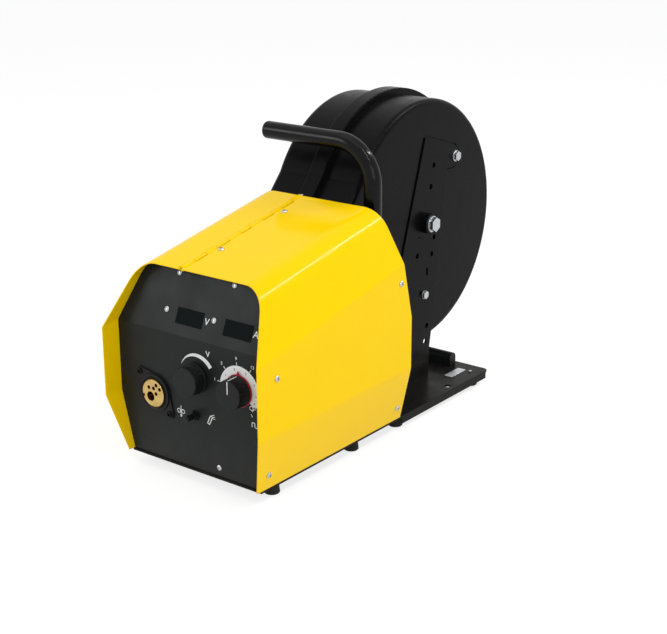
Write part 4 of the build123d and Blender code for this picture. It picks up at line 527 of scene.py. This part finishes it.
# --- Gas hose and current lead ------------------------------------------------------------------
# Extruded rubber, black and matt with a fine grain. The gas hose runs from the valve to the torch
# socket, the lead from the power socket to the socket's clamp, both held at their two ends.
hose_rubber = moulded_plastic("extruded_hose_rubber", "232425", "2b2c2d", 0.62, 0.08, 0.3, 0.9, 0.04)


def run_cord(name, node, route, radius):
    """A hose on one smooth line. The route's points are in metres, and it replaces a CAD node."""
    line = bpy.data.curves.new(name, "CURVE")
    line.dimensions = "3D"
    line.bevel_depth = radius
    line.bevel_resolution = 6
    line.use_fill_caps = True
    line.resolution_u = 16
    spline = line.splines.new("NURBS")
    spline.points.add(len(route) - 1)
    for point, place in zip(spline.points, route):
        point.co = (*place, 1.0)
    spline.order_u = 3
    spline.use_endpoint_u = True
    piece = bpy.data.objects.new(name, line)
    bpy.context.scene.collection.objects.link(piece)
    line.materials.append(hose_rubber)
    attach(piece, "frame")
    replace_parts(piece, node)


HOSE_ROUTE = ((-0.023, -0.0875, 0.225), (-0.088, -0.0875, 0.225), (-0.088, -0.2075, 0.225),
              (-0.067, -0.2633, 0.185), (-0.067, -0.2633, 0.125))
LEAD_ROUTE = ((-0.096, -0.0590, 0.064), (-0.096, -0.1875, 0.064), (-0.075, -0.2633, 0.078),
              (-0.075, -0.2633, 0.095))
run_cord("rubber_gas_hose", "gas_hose", HOSE_ROUTE, 0.0045)
run_cord("rubber_current_lead", "current_lead", LEAD_ROUTE, 0.0070)


# --- Handle -------------------------------------------------------------------------------------
# 25 mm drawn steel tube, mandrel bent, in a gloss black powder coat that flows out smoother than
# the sheet parts' coat.
gloss_black = coated_steel("gloss_black_powder_coat", "070708", "0a0a0b", "2a2b2c", 0.16, 0.15,
                           3.0, 0.002)
dress(gloss_black, "handle_tube")


# --- Spool cover --------------------------------------------------------------------------------
# Two vacuum-formed shells of black ABS, satin from the mould, with a faint ripple about 1.6 mm wide.
black_abs = moulded_plastic("black_vacuum_formed_abs", "0b0b0c", "101011", 0.32, 0.06,
                            0.05, 1.6, 0.010, 0.8)
dress(black_abs, "spool_cover_left", "spool_cover_right")


# --- Rubber feet --------------------------------------------------------------------------------
# Moulded black EPDM cones on screws, dusty and fully matt.
epdm = moulded_plastic("black_epdm_rubber", "1b1b1b", "262524", 0.72, 0.08, 0.2, 1.0, 0.05, 0.6)
dress(epdm, "rubber_feet")


# --- Rating plate -------------------------------------------------------------------------------
# A bare anodised aluminium strip, 14 by 40 mm with rounded corners, stuck on the deck. It carries
# no text.
clear_selection()
bpy.ops.mesh.primitive_plane_add(size=1.0)
rating = bpy.context.object
PLATE_W, PLATE_L, PLATE_CORNER, PLATE_T = 0.014, 0.040, 0.0015, 0.0004
PLATE_SPOT = (0.080, 0.1845, 0.0201)
rating.data.transform(Matrix.Diagonal((PLATE_W, PLATE_L, 1, 1)))
bpy.ops.object.mode_set(mode="EDIT")
bpy.ops.mesh.select_all(action="SELECT")
bpy.ops.mesh.bevel(offset=PLATE_CORNER, segments=4, affect="VERTICES")
bpy.ops.mesh.select_all(action="SELECT")
bpy.ops.mesh.extrude_region_move(TRANSFORM_OT_translate={"value": (0, 0, PLATE_T)})
bpy.ops.mesh.select_all(action="SELECT")
bpy.ops.mesh.normals_make_consistent(inside=False)
bpy.ops.object.mode_set(mode="OBJECT")
anodised = plated_metal("anodised_aluminium", "d4d6d7", "c6c8ca", 0.42, 0.06, 0.6, (1.0, 0.15, 1.0))
finish_piece(rating, "bare_rating_plate", anodised, "frame",
             Matrix.Translation(PLATE_SPOT))


# --- Studio: floor, lights and camera -----------------------------------------------------------
# A pale floor under soft boxes, with a white surround.
def straight_rays(tree):
    """1 on the rays that the surround is seen by, straight, mirrored or through glass, and 0 on others."""
    seen = add_node(tree, "ShaderNodeLightPath")
    direct = add_node(tree, "ShaderNodeMath", {0: seen.outputs["Is Camera Ray"],
                      1: seen.outputs["Is Glossy Ray"]}, operation="MAXIMUM")
    through = add_node(tree, "ShaderNodeMath", {0: direct.outputs[0],
                       1: seen.outputs["Is Transmission Ray"]}, operation="MAXIMUM")
    return through.outputs[0]


clear_selection()
bpy.ops.mesh.primitive_plane_add(size=14.0, location=(0, 0, 0))
floor = bpy.context.object
floor.name = "studio_floor"
paper = bpy.data.materials.new("pale_paper")
paper.use_nodes = True
tree = paper.node_tree
tree.nodes.clear()
straight = straight_rays(tree)
place = add_node(tree, "ShaderNodeTexCoord").outputs["Object"]
fibre = add_node(tree, "ShaderNodeTexNoise", {"Vector": place, "Scale": 3.0, "Detail": 4.0})
tone = add_node(tree, "ShaderNodeMix", {0: fibre.outputs[0], 6: linear("e9e9e8"), 7: linear("edeeee")},
                data_type="RGBA")
matt = add_node(tree, "ShaderNodeBsdfDiffuse", {"Color": tone.outputs[2]})
thin = add_node(tree, "ShaderNodeBsdfDiffuse", {"Color": (0.34, 0.34, 0.34, 1.0)})
glow = add_node(tree, "ShaderNodeEmission", {"Color": (1, 1, 1, 1), "Strength": 0.76})
lit = add_node(tree, "ShaderNodeAddShader", {0: thin.outputs[0], 1: glow.outputs[0]})
both = add_node(tree, "ShaderNodeMixShader", {0: straight, 1: matt.outputs[0], 2: lit.outputs[0]})
add_node(tree, "ShaderNodeOutputMaterial", {0: both.outputs[0]})
floor.data.materials.append(paper)

world = bpy.data.worlds.new("studio")
bpy.context.scene.world = world
world.use_nodes = True
tree = world.node_tree
tree.nodes.clear()
straight = straight_rays(tree)
level = add_node(tree, "ShaderNodeMapRange", {0: straight, 3: 0.60, 4: 1.0})
sky = add_node(tree, "ShaderNodeBackground", {"Color": (1, 1, 1, 1), "Strength": level.outputs[0]})
add_node(tree, "ShaderNodeOutputWorld", {0: sky.outputs[0]})


def soft_box(name, place, aim, width, height, watts, roll=0.0):
    """A rectangular studio lamp turned towards a point, then rolled about its own axis in degrees."""
    lamp = bpy.data.lights.new(name, "AREA")
    lamp.shape = "RECTANGLE"
    lamp.size, lamp.size_y, lamp.energy = width, height, watts
    held = bpy.data.objects.new(name, lamp)
    bpy.context.scene.collection.objects.link(held)
    way = Vector(aim) - Vector(place)
    facing = way.to_track_quat("-Z", "Y").to_matrix().to_4x4()
    held.matrix_world = Matrix.Translation(place) @ facing @ Matrix.Rotation(math.radians(roll), 4, "Z")


soft_box("overhead_box", (-0.2, -0.6, 2.6), (0, 0, 0.2), 1.8, 1.6, 6)
soft_box("side_box", (2.4, -1.4, 1.1), (0, 0, 0.25), 1.4, 1.2, 10)
soft_box("front_box", (-1.50, -1.95, 1.15), (0, -0.3, 0.25), 0.9, 0.9, 12)
soft_box("back_strip", (1.17, 1.38, 2.15), (0.10, -0.10, 0.25), 1.1, 0.05, 22, roll=-42)
soft_box("top_strip", (1.38, -0.65, 2.35), (0.05, 0.0, 0.35), 0.08, 1.2, 9)

CAMERA_SPOT = (1.1296, -1.4889, 0.7741)
AZIMUTH, ELEVATION, ROLL = (math.radians(a) for a in (38.3807, 18.0874, -0.4584))
ahead = Vector((-math.sin(AZIMUTH) * math.cos(ELEVATION), math.cos(AZIMUTH) * math.cos(ELEVATION),
                -math.sin(ELEVATION)))
level_right = Vector((math.cos(AZIMUTH), math.sin(AZIMUTH), 0))
level_up = level_right.cross(ahead)
right = math.cos(ROLL) * level_right + math.sin(ROLL) * level_up
above = -math.sin(ROLL) * level_right + math.cos(ROLL) * level_up
lens = bpy.data.cameras.new("view_camera")
lens.sensor_fit = "HORIZONTAL"
lens.sensor_width = 36.0
lens.lens = 74.17
lens.shift_x = 0.0307
lens.shift_y = -0.0200
lens.clip_end = 50.0
camera = bpy.data.objects.new("view_camera", lens)
bpy.context.scene.collection.objects.link(camera)
turn = Matrix((right, above, -ahead)).transposed().to_4x4()
camera.matrix_world = Matrix.Translation(CAMERA_SPOT) @ turn
bpy.context.scene.camera = camera
bpy.context.scene.view_settings.view_transform = "Standard"
